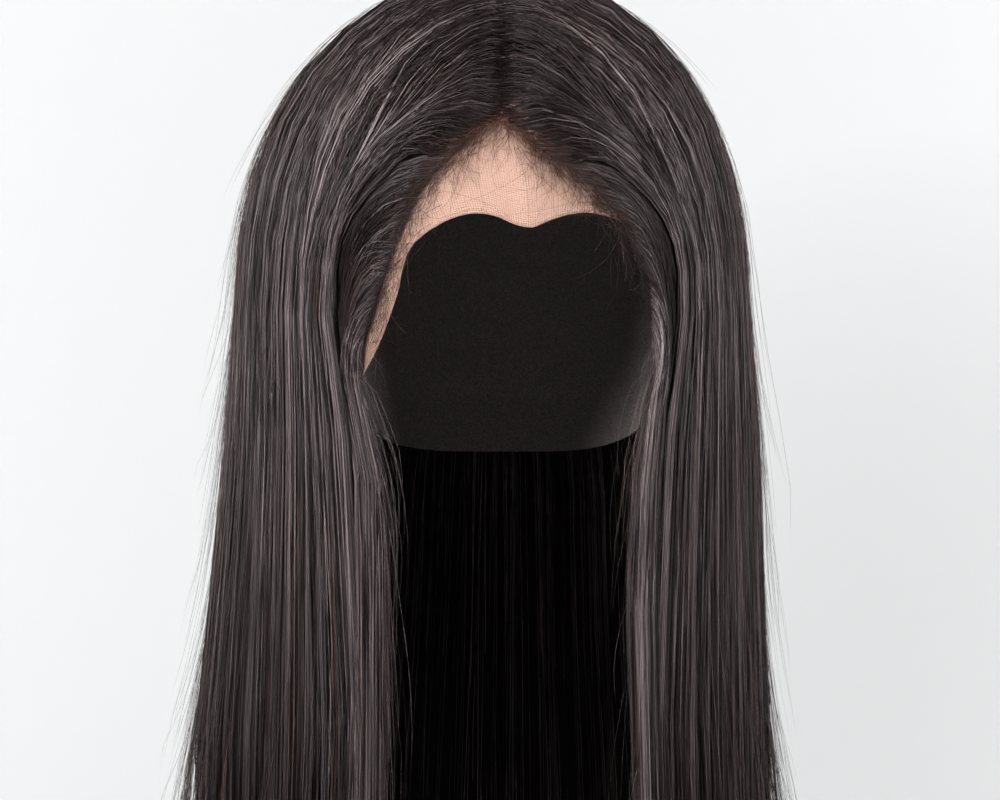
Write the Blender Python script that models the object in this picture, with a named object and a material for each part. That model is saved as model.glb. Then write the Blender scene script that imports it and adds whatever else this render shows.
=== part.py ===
"""A long straight lace front wig with a centre part, in the form that it has when worn.

The origin is the highest point inside the cap. +Z is up, the face opening looks toward -Y, and
+X is the viewer's right. Every size below is in millimetres and is built in metres.
"""

import math

import bpy
import numpy as np

MILLIMETRE = 0.001
LEFT = -1
RIGHT = 1

# Head form that the cap fits: an oval with its middle under the origin
HEAD_MIDDLE = np.array([0.0, 0.0, -100.0])
HEAD_HALF_WIDTH = 77.0
HEAD_HALF_LENGTH = 97.0
HEAD_RISE = 100.0
HEAD_DROP = 120.0
HEAD_FULLNESS = 2.3

# Cap and lace walls
CAP_WALL = 1.5
LACE_WALL = 1.0
SEAT_GAP = 0.8
TEMPLE_GAP = 1.1
SEAM_GAP = 0.3

# Seam between lace and cap, an arch from ear to ear
SEAM_TOP_Y = -46.0
SEAM_EAR_Y = -22.0
SEAM_EAR_ANGLE = math.radians(99.0)

# Lower edge of the cap: over the ears and round the nape
NAPE_Y = 84.0
NAPE_Z = -166.0
EAR_BACK_Y = 14.0
EAR_BACK_Z = -121.0
CAP_COLUMNS = 28
CAP_ROWS = 16
CAP_BULGE = np.array([0.0, 60.0, 60.0])

# Front edge of the lace from the left tab to the right tab
LACE_EDGE = (
    {"x": -54.0, "z": -136.5},
    {"x": -46.0, "z": -121.8},
    {"x": -39.2, "z": -104.2},
    {"x": -33.1, "z": -84.6},
    {"x": -23.4, "z": -77.1},
    {"x": -11.0, "z": -73.1},
    {"x": -2.2, "z": -74.2},
    {"x": 4.4, "z": -77.1},
    {"x": 10.2, "z": -78.2},
    {"x": 16.8, "z": -75.7},
    {"x": 23.4, "z": -73.5},
    {"x": 34.8, "z": -73.1},
    {"x": 42.5, "z": -75.4},
    {"x": 50.8, "z": -83.0},
    {"x": 57.0, "z": -98.0},
    {"x": 60.5, "z": -116.0},
    {"x": 63.0, "z": -136.5},
)

LACE_COLUMNS = 48
LACE_ROWS = 6

# Hairline on each side, from the temple (share 0) up to the peak (share 1)
HAIRLINE = {
    LEFT: (
        {"share": 0.00, "x": 50.8, "z": -120.0},
        {"share": 0.25, "x": 47.0, "z": -107.0},
        {"share": 0.50, "x": 40.5, "z": -88.6},
        {"share": 0.75, "x": 28.9, "z": -63.7},
        {"share": 1.00, "x": 9.0, "z": -42.5},
    ),
    RIGHT: (
        {"share": 0.00, "x": 54.6, "z": -118.0},
        {"share": 0.25, "x": 53.6, "z": -101.0},
        {"share": 0.50, "x": 47.0, "z": -81.5},
        {"share": 0.75, "x": 31.7, "z": -62.2},
        {"share": 1.00, "x": 9.0, "z": -46.0},
    ),
}

# Roots of the outer sections: u runs round one side from the face edge (0) to the middle of the
# back (1), and the roots run up the hairline to its peak and then back along the part
ROOTS = {
    LEFT: (
        {"u": 0.040, "x": 24.0, "y": -85.7, "rise": 10.5, "full": 2.70},
        {"u": 0.065, "x": 11.0, "y": -83.6, "rise": 12.0, "full": 2.65},
        {"u": 0.090, "x": 2.0, "y": -81.0, "rise": 13.5, "full": 2.55},
        {"u": 0.130, "x": 0.5, "y": -67.0, "rise": 16.0, "full": 2.40},
        {"u": 0.220, "x": 0.5, "y": -42.0, "rise": 20.0, "full": 2.25},
        {"u": 0.420, "x": 0.5, "y": 0.0, "rise": 22.7, "full": 2.15},
        {"u": 0.700, "x": 0.5, "y": 46.0, "rise": 21.0, "full": 2.15},
        {"u": 1.000, "x": 0.5, "y": 76.0, "rise": 16.0, "full": 2.15},
    ),
    RIGHT: (
        {"u": 0.040, "x": 24.0, "y": -86.8, "rise": 10.5, "full": 2.70},
        {"u": 0.065, "x": 11.0, "y": -84.8, "rise": 12.0, "full": 2.65},
        {"u": 0.090, "x": 2.0, "y": -81.0, "rise": 13.5, "full": 2.55},
        {"u": 0.130, "x": 0.5, "y": -67.0, "rise": 16.0, "full": 2.40},
        {"u": 0.220, "x": 0.5, "y": -42.0, "rise": 20.0, "full": 2.25},
        {"u": 0.420, "x": 0.5, "y": 0.0, "rise": 22.7, "full": 2.15},
        {"u": 0.700, "x": 0.5, "y": 46.0, "rise": 21.0, "full": 2.15},
        {"u": 1.000, "x": 0.5, "y": 76.0, "rise": 16.0, "full": 2.15},
    ),
}
PART_GROOVE = 4.5
ROOT_THICK = 2.0

# Hanging hair, level by level below the widest part of the head
LEVELS = (
    {"z": -105.0, "left": 103.7, "right": 95.2, "front": 95.0, "back": 117.0,
     "edge_left": 51.0, "edge_right": 55.0, "thick": 14.0},
    {"z": -143.0, "left": 106.9, "right": 98.3, "front": 94.0, "back": 115.0,
     "edge_left": 51.0, "edge_right": 52.5, "thick": 14.0},
    {"z": -167.0, "left": 108.5, "right": 99.6, "front": 92.0, "back": 113.0,
     "edge_left": 44.5, "edge_right": 50.0, "thick": 13.5},
    {"z": -221.0, "left": 112.7, "right": 100.4, "front": 90.0, "back": 109.0,
     "edge_left": 43.5, "edge_right": 47.5, "thick": 13.0},
    {"z": -260.0, "left": 118.2, "right": 102.6, "front": 88.0, "back": 106.0,
     "edge_left": 43.3, "edge_right": 49.0, "thick": 12.0},
    {"z": -299.0, "left": 123.5, "right": 106.5, "front": 87.0, "back": 104.0,
     "edge_left": 44.0, "edge_right": 50.0, "thick": 11.0},
    {"z": -360.0, "left": 124.0, "right": 108.0, "front": 86.0, "back": 102.0,
     "edge_left": 46.0, "edge_right": 52.0, "thick": 9.0},
    {"z": -430.0, "left": 119.0, "right": 104.0, "front": 84.0, "back": 99.0,
     "edge_left": 52.0, "edge_right": 57.0, "thick": 4.0},
)
PLAN_FULLNESS = 2.2
EDGE_DEPTH = 0.6
SHOULDER_Z = -105.0
SHOULDER_V = 0.36
TEMPLE_Z = -137.0
LEAVE_HEAD_Z = -137.0
FREE_OF_HEAD_Z = -180.0

# Ends of the hair
TIP_Z_FRONT = -408.0
TIP_Z_BACK = -430.0
TIP_NOTCH = 22.0
TIP_DRIFT = 7.0
TIP_DRIFT_PER_LOCK = 2.4
TIP_DRIFT_PER_U = 9.0
LOCK_FULLNESS = 0.7
RIDGE_DEPTH = 0.22
RIDGE_START_V = 0.10
SEAM_U = 0.0012

# Outer sections: where each starts and ends round its side, and its locks
SECTIONS = (
    {"name": "hair_front", "from": 0.043, "to": 0.22, "locks": 3, "first_lock": 1},
    {"name": "hair_side", "from": 0.22, "to": 0.42, "locks": 4, "first_lock": 4},
    {"name": "hair_rear", "from": 0.42, "to": 0.70, "locks": 4, "first_lock": 8},
    {"name": "hair_back", "from": 0.70, "to": 1.00, "locks": 4, "first_lock": 12},
)
STEPS_PER_LOCK = 3
OUTER_STATIONS = (0.0, 0.006, 0.02, 0.055, 0.095, 0.135, 0.175, 0.215, 0.255, 0.295, 0.33, 0.36,
                  0.40, 0.45, 0.54, 0.66, 0.79, 0.91, 1.0)

# Lap of the front section over the temple section: depth in the hair and height off the head
LAP_U = 0.100
LAP_ROOT_U = 0.075
LAP_WIDTH = 0.012
LAP_END_V = 0.12
LAP_DEPTH = 0.50
LAP_SEAT = 5.4

# Temple sections: across from the face edge, with the depth of both faces in the fall and the
# height of the outer face off the head above it
TEMPLE_ACROSS = (
    {"u": 0.0000, "outer": 0.35, "inner": 0.80, "lift": 4.0},
    {"u": 0.0060, "outer": 0.08, "inner": 1.00, "lift": 6.6},
    {"u": 0.0180, "outer": 0.00, "inner": 1.00, "lift": 7.4},
    {"u": 0.0300, "outer": 0.06, "inner": 1.00, "lift": 7.0},
    {"u": 0.0395, "outer": 0.58, "inner": 1.00, "lift": 4.6},
    {"u": 0.0520, "outer": 0.58, "inner": 1.00, "lift": 4.6},
    {"u": 0.0650, "outer": 0.58, "inner": 1.00, "lift": 4.6},
    {"u": 0.0780, "outer": 0.60, "inner": 1.00, "lift": 4.4},
    {"u": 0.0920, "outer": 0.68, "inner": 0.98, "lift": 3.8},
)
TEMPLE_STATIONS = (0.0, 0.04, 0.09, 0.14, 0.19, 0.24, 0.29, 0.34, 0.38, 0.42, 0.49, 0.58, 0.69, 0.80,
                   0.91, 1.0)
TEMPLE_SHOULDER_V = 0.38
TEMPLE_ROOT_LIFT = 3.2
TEMPLE_LIFT_V = 0.2
TEMPLE_FULLNESS = 2.35

# Finishes: base colour, roughness, metallic
HAIR_FINISH = ((0.017, 0.013, 0.012, 1.0), 0.42, 0.0)
LACE_FINISH = ((0.46, 0.29, 0.20, 1.0), 0.85, 0.0)
CAP_FINISH = ((0.03, 0.026, 0.025, 1.0), 0.9, 0.0)


def clear_scene():
    """Remove every object and its mesh."""
    for item in list(bpy.data.objects):
        bpy.data.objects.remove(item, do_unlink=True)
    for mesh in list(bpy.data.meshes):
        bpy.data.meshes.remove(mesh)


def curve_at(rows, key, column, at):
    """Smooth curve through one column of a table, read at the given places."""
    places = np.array([row[key] for row in rows])
    values = np.array([row[column] for row in rows])
    if places[0] > places[-1]:
        places = places[::-1]
        values = values[::-1]
    slopes = np.gradient(values, places)
    at = np.clip(np.asarray(at, dtype=float), places[0], places[-1])
    low = np.clip(np.searchsorted(places, at, side="right") - 1, 0, len(places) - 2)
    span = places[low + 1] - places[low]
    share = (at - places[low]) / span
    square = share * share
    cube = square * share
    start = (2 * cube - 3 * square + 1) * values[low]
    end = (3 * square - 2 * cube) * values[low + 1]
    leave = (cube - 2 * square + share) * span * slopes[low]
    arrive = (cube - square) * span * slopes[low + 1]
    return start + end + leave + arrive


def smooth_step(share):
    """Ease from 0 to 1 with level ends."""
    share = np.clip(share, 0.0, 1.0)
    return share * share * (3.0 - 2.0 * share)


def mix(first, second, share):
    """Blend two arrays of points."""
    return first + (second - first) * np.asarray(share)[..., None]


def on_head(points, offset):
    """Move points onto the head form grown by an offset.

    Above its middle they move along rays from the middle, below it they move level.
    """
    local = points - HEAD_MIDDLE
    rise = np.where(local[..., 2] > 0.0, HEAD_RISE, HEAD_DROP) + offset
    plan = (np.abs(local[..., 0]) / (HEAD_HALF_WIDTH + offset)) ** HEAD_FULLNESS
    plan += (np.abs(local[..., 1]) / (HEAD_HALF_LENGTH + offset)) ** HEAD_FULLNESS
    height = np.clip(np.abs(local[..., 2]) / rise, 0.0, 0.98) ** HEAD_FULLNESS
    level = ((1.0 - height) / np.maximum(plan, 1e-9)) ** (1.0 / HEAD_FULLNESS)
    radial = (plan + (np.abs(local[..., 2]) / rise) ** HEAD_FULLNESS) ** (-1.0 / HEAD_FULLNESS)
    above = local[..., 2] > 0.0
    scale = np.where(above, radial, level)
    moved = np.stack([local[..., 0] * scale, local[..., 1] * scale,
                      local[..., 2] * np.where(above, radial, 1.0)], axis=-1)
    return moved + HEAD_MIDDLE


def front_of_head(x, z, offset):
    """Points on the front of the head form at the given x and z."""
    local_z = np.asarray(z, dtype=float) - HEAD_MIDDLE[2]
    rise = np.where(local_z > 0.0, HEAD_RISE, HEAD_DROP) + offset
    used = (np.abs(x) / (HEAD_HALF_WIDTH + offset)) ** HEAD_FULLNESS
    used = used + (np.abs(local_z) / rise) ** HEAD_FULLNESS
    y = -(HEAD_HALF_LENGTH + offset) * np.maximum(1.0 - used, 0.0) ** (1.0 / HEAD_FULLNESS)
    x = np.broadcast_to(x, y.shape)
    return np.stack([x, y, np.broadcast_to(z, y.shape)], axis=-1)


def plan_at(side, u, z, inset):
    """Point of the hanging hair at u and height z, moved inward by the inset."""
    name = "left" if side == LEFT else "right"
    half = curve_at(LEVELS, "z", name, z)
    edge = curve_at(LEVELS, "z", "edge_" + name, z)
    inside = half - EDGE_DEPTH * curve_at(LEVELS, "z", "thick", z)
    start = np.arcsin((edge / inside) ** (PLAN_FULLNESS / 2.0))
    angle = start + (math.pi - start) * u
    across = np.abs(np.sin(angle)) ** (2.0 / PLAN_FULLNESS)
    along = np.abs(np.cos(angle)) ** (2.0 / PLAN_FULLNESS)
    ahead = np.cos(angle) > 0.0
    depth = np.where(ahead, curve_at(LEVELS, "z", "front", z), curve_at(LEVELS, "z", "back", z))
    x = side * (half - inset) * across
    y = np.where(ahead, -1.0, 1.0) * (depth - inset) * along
    return np.stack([x, y, np.asarray(z) + 0.0 * x], axis=-1)


def lap_share(u, v):
    """Where the front section lies over the temple section, 1 on it and 0 past it."""
    end = LAP_ROOT_U + (LAP_U - LAP_ROOT_U) * smooth_step(v / LAP_END_V)
    return 1.0 - smooth_step((u - end) / LAP_WIDTH)


def seat_height(u, v):
    """Height of the inner face off the head form."""
    return CAP_WALL + SEAT_GAP + (LAP_SEAT - CAP_WALL - SEAT_GAP) * lap_share(u, v)


def outer_path(side, u, v, tip_z):
    """Outer face of the hair: out of the groove at its root, in an arc to the shoulder level,
    then down in the fall.
    """
    rows = ROOTS[side]
    full = curve_at(rows, "u", "full", u)
    root = np.stack([side * curve_at(rows, "u", "x", u), curve_at(rows, "u", "y", u), 0.0 * u], axis=-1)
    plan = (np.abs(root[..., 0]) / HEAD_HALF_WIDTH) ** HEAD_FULLNESS
    plan += (np.abs(root[..., 1]) / HEAD_HALF_LENGTH) ** HEAD_FULLNESS
    root[..., 2] = HEAD_MIDDLE[2] + HEAD_RISE * (1.0 - plan) ** (1.0 / HEAD_FULLNESS)
    crest = on_head(root, curve_at(rows, "u", "rise", u))
    sunk = crest - on_head(root, seat_height(u, 0.0 * u) + ROOT_THICK)
    foot = plan_at(side, u, np.full_like(u, SHOULDER_Z), 0.0)
    turn = 0.5 * math.pi * np.clip(v / SHOULDER_V, 0.0, 1.0)
    out = np.abs(np.sin(turn)) ** (2.0 / full)
    down = np.abs(np.cos(turn)) ** (2.0 / full)
    arc = np.stack([crest[..., 0] + (foot[..., 0] - crest[..., 0]) * out,
                    crest[..., 1] + (foot[..., 1] - crest[..., 1]) * out,
                    foot[..., 2] + (crest[..., 2] - foot[..., 2]) * down], axis=-1)
    reach = np.hypot(arc[..., 0] - crest[..., 0], arc[..., 1] - crest[..., 1])
    arc = arc - sunk * np.exp(-((reach / PART_GROOVE) ** 2))[..., None]
    fall_z = SHOULDER_Z + (tip_z - SHOULDER_Z) * np.clip((v - SHOULDER_V) / (1.0 - SHOULDER_V), 0.0, 1.0)
    fall = plan_at(side, u, fall_z, 0.0)
    return np.where((v <= SHOULDER_V)[..., None], arc, fall)


def hang_share(z):
    """How far the hair has left the head form for its fall, 0 above and 1 below."""
    return smooth_step((LEAVE_HEAD_Z - z) / (LEAVE_HEAD_Z - FREE_OF_HEAD_Z))


def settle(side, u, path, off_head, depth):
    """Face that lies a height off the head form first, then at a depth in the falling hair."""
    low = np.minimum(path[..., 2], SHOULDER_Z)
    hanging = plan_at(side, u, low, depth * curve_at(LEVELS, "z", "thick", low))
    return mix(on_head(path, off_head), hanging, hang_share(path[..., 2]))


def temple_path(side, u, v, tip_z):
    """Line of a temple section: from the hairline in an arc to the temple level, then the fall."""
    share = np.clip(u / TEMPLE_ACROSS[-1]["u"], 0.0, 1.0)
    root_x = curve_at(HAIRLINE[side], "share", "x", share) * side
    root = front_of_head(root_x, curve_at(HAIRLINE[side], "share", "z", share), LACE_WALL)
    foot = plan_at(side, u, np.full_like(u, TEMPLE_Z), 0.0)
    turn = 0.5 * math.pi * np.clip(v / TEMPLE_SHOULDER_V, 0.0, 1.0)
    out = np.abs(np.sin(turn)) ** (2.0 / TEMPLE_FULLNESS)
    down = np.abs(np.cos(turn)) ** (2.0 / TEMPLE_FULLNESS)
    arc = np.stack([root[..., 0] + (foot[..., 0] - root[..., 0]) * out,
                    root[..., 1] + (foot[..., 1] - root[..., 1]) * out,
                    foot[..., 2] + (root[..., 2] - foot[..., 2]) * down], axis=-1)
    fallen = np.clip((v - TEMPLE_SHOULDER_V) / (1.0 - TEMPLE_SHOULDER_V), 0.0, 1.0)
    fall = plan_at(side, u, TEMPLE_Z + (tip_z - TEMPLE_Z) * fallen, 0.0)
    return np.where((v <= TEMPLE_SHOULDER_V)[..., None], arc, fall)


def tip_height(u, lock_share, lock_number):
    """Height of the ends: longer in the middle of each lock, shorter between locks."""
    base = TIP_Z_FRONT + (TIP_Z_BACK - TIP_Z_FRONT) * smooth_step(u)
    notch = TIP_NOTCH * (1.0 - lock_share)
    drift = TIP_DRIFT * lock_share * np.sin(TIP_DRIFT_PER_LOCK * lock_number + TIP_DRIFT_PER_U * u)
    return base + notch + drift


def tube(outer, inner):
    """Closed solid between two matching grids of points, as vertices and faces.

    Each row runs along the outer face and back along the inner one. Both ends are closed by
    ladders of faces. The two side walls are split along matching diagonals, so that the walls of
    neighbours lie side by side.
    """
    rows, columns = outer.shape[:2]
    ring = 2 * columns
    points = np.concatenate([outer, inner[:, ::-1]], axis=1).reshape(-1, 3)
    faces = []
    for row in range(rows - 1):
        for step in range(ring):
            after = (step + 1) % ring
            low = row * ring
            corners = (low + step, low + after, low + ring + after, low + ring + step)
            if after == 0:
                corners = corners[1:] + corners[:1]
            faces.append(corners[:3])
            faces.append((corners[0], corners[2], corners[3]))
    last = (rows - 1) * ring
    for step in range(columns - 1):
        facing = ring - 1 - step
        faces.append((step, facing, facing - 1, step + 1))
        faces.append((last + step, last + step + 1, last + facing - 1, last + facing))
    return points, faces


def make_material(name, finish):
    """Principled material from a base colour, roughness and metallic."""
    colour, roughness, metallic = finish
    material = bpy.data.materials.new(name)
    material.use_nodes = True
    shader = material.node_tree.nodes["Principled BSDF"]
    shader.inputs["Base Color"].default_value = colour
    shader.inputs["Roughness"].default_value = roughness
    shader.inputs["Metallic"].default_value = metallic
    return material


def add_solid(name, points, faces, finish, flip):
    """Make one named object from points in millimetres."""
    mesh = bpy.data.meshes.new(name)
    wound = [face[::-1] for face in faces] if flip else faces
    mesh.from_pydata([tuple(point) for point in (points * MILLIMETRE).tolist()], [], wound)
    mesh.polygons.foreach_set("use_smooth", [True] * len(mesh.polygons))
    mesh.materials.append(make_material(name + "_finish", finish))
    mesh.update()
    item = bpy.data.objects.new(name, mesh)
    bpy.context.collection.objects.link(item)
    return item


def build_section(section, side):
    """One outer section of hair with its locks."""
    steps = section["locks"] * STEPS_PER_LOCK
    across = np.linspace(section["from"] + SEAM_U, section["to"] - SEAM_U, steps + 1)
    place = np.arange(steps + 1) / STEPS_PER_LOCK
    number = np.floor(place + 0.5) + section["first_lock"]
    lock_share = np.abs(np.sin(math.pi * place)) ** LOCK_FULLNESS
    tip_z = tip_height(across, lock_share, side * number)
    u, v = np.meshgrid(across, np.array(OUTER_STATIONS))
    outer = outer_path(side, u, v, np.broadcast_to(tip_z, u.shape))
    inner = settle(side, u, outer, seat_height(u, v), 1.0 - (1.0 - LAP_DEPTH) * lap_share(u, v))
    ridge = RIDGE_DEPTH * (1.0 - lock_share)[None, :] * smooth_step(v / RIDGE_START_V)
    outer = mix(outer, inner, ridge)
    points, faces = tube(outer, inner)
    name = section["name"] + ("_left" if side == LEFT else "_right")
    return add_solid(name, points, faces, HAIR_FINISH, side == RIGHT)


def build_temple(side):
    """The inner section that is tied along the hairline and swept back and down."""
    across = np.array([row["u"] for row in TEMPLE_ACROSS])
    depth_out = np.array([row["outer"] for row in TEMPLE_ACROSS])[None, :]
    depth_in = np.array([row["inner"] for row in TEMPLE_ACROSS])[None, :]
    lift = np.array([row["lift"] for row in TEMPLE_ACROSS])[None, :]
    u, v = np.meshgrid(across, np.array(TEMPLE_STATIONS))
    tip_z = np.broadcast_to(tip_height(across, 1.0 - depth_out[0], 1.0), u.shape)
    path = temple_path(side, u, v, tip_z)
    lift = TEMPLE_ROOT_LIFT + (lift - TEMPLE_ROOT_LIFT) * smooth_step(v / TEMPLE_LIFT_V)
    outer = settle(side, u, path, lift, depth_out)
    inner = settle(side, u, path, LACE_WALL + TEMPLE_GAP, depth_in)
    points, faces = tube(outer, inner)
    name = "hair_temple_left" if side == LEFT else "hair_temple_right"
    return add_solid(name, points, faces, HAIR_FINISH, side == RIGHT)


def seam_arch(share, slack):
    """Arch from ear to ear over the crown, share -1 at the left ear and 1 at the right."""
    angle = share * SEAM_EAR_ANGLE
    y = SEAM_TOP_Y + (SEAM_EAR_Y - SEAM_TOP_Y) * share * share + slack
    x = HEAD_HALF_WIDTH * np.sin(angle)
    return np.stack([x, y, HEAD_MIDDLE[2] + HEAD_RISE * np.cos(angle)], axis=-1)


def wall_on_head(grid, wall):
    """Closed wall on the head form that follows a grid of points."""
    return tube(on_head(grid, wall), on_head(grid, 0.0))


def build_lace():
    """Lace panel from its wavy front edge to the seam."""
    knots = np.array([[row["x"], row["z"]] for row in LACE_EDGE])
    length = np.concatenate([[0.0], np.cumsum(np.hypot(*np.diff(knots, axis=0).T))])
    table = [{"s": s, "x": x, "z": z} for s, (x, z) in zip(length / length[-1], knots)]
    share = np.linspace(0.0, 1.0, LACE_COLUMNS + 1)
    edge = front_of_head(curve_at(table, "s", "x", share), curve_at(table, "s", "z", share), 0.0)
    arch = seam_arch(2.0 * share - 1.0, -SEAM_GAP)
    step = np.linspace(0.0, 1.0, LACE_ROWS + 1)[:, None, None]
    grid = edge[None] + (arch - edge)[None] * step
    points, faces = wall_on_head(grid, LACE_WALL)
    return add_solid("lace_front", points, faces, LACE_FINISH, False)


def build_cap():
    """Cap from the seam over the crown to the nape, open below."""
    share = np.linspace(-1.0, 1.0, CAP_COLUMNS + 1)
    arch = seam_arch(share, SEAM_GAP)
    angle = share * 0.5 * math.pi
    hem = np.stack([HEAD_HALF_WIDTH * np.sin(angle),
                    EAR_BACK_Y + (NAPE_Y - EAR_BACK_Y) * np.cos(angle),
                    EAR_BACK_Z + (NAPE_Z - EAR_BACK_Z) * smooth_step(np.cos(angle))], axis=-1)
    step = np.linspace(0.0, 1.0, CAP_ROWS + 1)[:, None, None]
    bulge = np.sin(math.pi * step) * CAP_BULGE * np.cos(angle)[None, :, None]
    grid = arch[None] + (hem - arch)[None] * step + bulge
    points, faces = wall_on_head(grid, CAP_WALL)
    return add_solid("wig_cap", points, faces, CAP_FINISH, False)


def main():
    """Build every piece."""
    clear_scene()
    build_cap()
    build_lace()
    for side in (LEFT, RIGHT):
        build_temple(side)
        for section in SECTIONS:
            build_section(section, side)


main()
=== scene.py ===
"""Looks of a long straight lace front wig with a centre part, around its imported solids.

Sizes inside the shape functions are in millimetres, as in the part's tables, and every mesh is
made in metres. u runs round one side of the hair from the face edge (0) to the middle of the back
(1), v runs from root (0) to end (1), and depth runs from the outer face inward.
"""

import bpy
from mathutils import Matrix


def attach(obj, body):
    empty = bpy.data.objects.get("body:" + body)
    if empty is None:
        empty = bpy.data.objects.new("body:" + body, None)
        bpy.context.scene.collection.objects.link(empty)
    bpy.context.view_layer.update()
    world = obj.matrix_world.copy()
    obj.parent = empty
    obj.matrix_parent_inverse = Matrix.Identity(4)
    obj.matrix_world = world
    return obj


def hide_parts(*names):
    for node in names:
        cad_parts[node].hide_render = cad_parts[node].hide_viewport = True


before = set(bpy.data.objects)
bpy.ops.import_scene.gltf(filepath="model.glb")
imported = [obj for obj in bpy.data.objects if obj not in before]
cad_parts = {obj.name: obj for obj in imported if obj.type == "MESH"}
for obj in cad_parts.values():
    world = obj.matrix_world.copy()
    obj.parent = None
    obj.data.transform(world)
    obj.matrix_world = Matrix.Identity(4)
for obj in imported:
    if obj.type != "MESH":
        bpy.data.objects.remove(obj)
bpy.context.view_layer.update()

import math

import bpy
import numpy as np
from bpy.props import FloatProperty, FloatVectorProperty, IntProperty, PointerProperty
from bpy.types import Operator, Panel, PropertyGroup
from mathutils import Vector

bl_info = {
    "name": "Lace Front Wig",
    "version": (1, 0, 0),
    "blender": (4, 5, 0),
    "location": "View3D > Sidebar > Wig",
    "description": "Builds the hair, lace, cap and stage of a long straight wig",
    "category": "Object",
}

MILLIMETRE = 0.001
LEFT = -1
RIGHT = 1
SIDE_NAMES = {LEFT: "left", RIGHT: "right"}

# Head form that the cap fits
HEAD_MIDDLE = np.array([0.0, 0.0, -100.0])
HEAD_HALF_WIDTH = 77.0
HEAD_HALF_LENGTH = 97.0
HEAD_RISE = 100.0
HEAD_DROP = 120.0
HEAD_FULLNESS = 2.3
CAP_WALL = 1.5
LACE_WALL = 1.0
SEAT_GAP = 0.8
TEMPLE_GAP = 1.1

# Seam between lace and cap, an arch from ear to ear
SEAM_TOP_Y = -46.0
SEAM_EAR_Y = -22.0
SEAM_EAR_ANGLE = math.radians(99.0)

# Front edge of the lace from the left tab to the right tab
LACE_EDGE = (
    {"x": -54.0, "z": -136.5},
    {"x": -46.0, "z": -121.8},
    {"x": -39.2, "z": -104.2},
    {"x": -33.1, "z": -84.6},
    {"x": -23.4, "z": -77.1},
    {"x": -11.0, "z": -73.1},
    {"x": -2.2, "z": -74.2},
    {"x": 4.4, "z": -77.1},
    {"x": 10.2, "z": -78.2},
    {"x": 16.8, "z": -75.7},
    {"x": 23.4, "z": -73.5},
    {"x": 34.8, "z": -73.1},
    {"x": 42.5, "z": -75.4},
    {"x": 50.8, "z": -83.0},
    {"x": 57.0, "z": -98.0},
    {"x": 60.5, "z": -116.0},
    {"x": 63.0, "z": -136.5},
)

# Hairline on each side, from the temple (share 0) up to the peak (share 1)
HAIRLINE = {
    LEFT: (
        {"share": 0.00, "x": 50.8, "z": -120.0},
        {"share": 0.25, "x": 47.0, "z": -107.0},
        {"share": 0.50, "x": 40.5, "z": -88.6},
        {"share": 0.75, "x": 28.9, "z": -63.7},
        {"share": 1.00, "x": 9.0, "z": -42.5},
    ),
    RIGHT: (
        {"share": 0.00, "x": 54.6, "z": -118.0},
        {"share": 0.25, "x": 53.6, "z": -101.0},
        {"share": 0.50, "x": 47.0, "z": -81.5},
        {"share": 0.75, "x": 31.7, "z": -62.2},
        {"share": 1.00, "x": 9.0, "z": -46.0},
    ),
}

# Peak of the hairline in the middle
PEAK = {"share": 1.18, "x": -1.0, "z": -33.5}

# Roots of the outer sections: up the hairline to its peak, then back along the part
PART_ROOTS = (
    {"u": 0.090, "x": 2.0, "y": -81.0, "rise": 13.5, "full": 2.20},
    {"u": 0.130, "x": 0.0, "y": -67.0, "rise": 16.0, "full": 2.25},
    {"u": 0.220, "x": 0.0, "y": -42.0, "rise": 20.0, "full": 2.25},
    {"u": 0.420, "x": 0.0, "y": 0.0, "rise": 22.7, "full": 2.15},
    {"u": 0.700, "x": 0.0, "y": 46.0, "rise": 21.0, "full": 2.15},
    {"u": 1.000, "x": 0.0, "y": 76.0, "rise": 16.0, "full": 2.15},
)
ROOTS = {
    LEFT: (
        {"u": 0.040, "x": 24.0, "y": -85.7, "rise": 10.5, "full": 2.15},
        {"u": 0.065, "x": 11.0, "y": -83.6, "rise": 12.0, "full": 2.15},
    ) + PART_ROOTS,
    RIGHT: (
        {"u": 0.040, "x": 24.0, "y": -86.8, "rise": 10.5, "full": 2.15},
        {"u": 0.065, "x": 11.0, "y": -84.8, "rise": 12.0, "full": 2.15},
    ) + PART_ROOTS,
}
PART_GROOVE = 2.6
PART_SINK = 0.82
PART_SINK_FROM = 0.085
PART_SINK_OVER = 0.08
ROOT_THICK = 2.0

# Hanging hair, level by level below the widest part of the head
LEVELS = (
    {"z": -105.0, "left": 103.7, "right": 95.2, "front": 95.0, "back": 117.0,
     "edge_left": 51.0, "edge_right": 55.0, "thick": 14.0},
    {"z": -143.0, "left": 106.9, "right": 98.3, "front": 94.0, "back": 115.0,
     "edge_left": 51.0, "edge_right": 52.5, "thick": 14.0},
    {"z": -167.0, "left": 108.5, "right": 99.6, "front": 92.0, "back": 113.0,
     "edge_left": 44.5, "edge_right": 50.0, "thick": 13.5},
    {"z": -221.0, "left": 112.7, "right": 100.4, "front": 90.0, "back": 109.0,
     "edge_left": 43.5, "edge_right": 47.5, "thick": 13.0},
    {"z": -260.0, "left": 118.2, "right": 102.6, "front": 88.0, "back": 106.0,
     "edge_left": 43.3, "edge_right": 49.0, "thick": 12.0},
    {"z": -299.0, "left": 123.5, "right": 106.5, "front": 87.0, "back": 104.0,
     "edge_left": 44.0, "edge_right": 50.0, "thick": 11.0},
    {"z": -360.0, "left": 124.0, "right": 108.0, "front": 86.0, "back": 102.0,
     "edge_left": 46.0, "edge_right": 52.0, "thick": 9.0},
    {"z": -430.0, "left": 119.0, "right": 104.0, "front": 84.0, "back": 99.0,
     "edge_left": 52.0, "edge_right": 57.0, "thick": 4.0},
)
PLAN_FULLNESS = 2.2
EDGE_DEPTH = 0.6
SHOULDER_Z = -105.0
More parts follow.
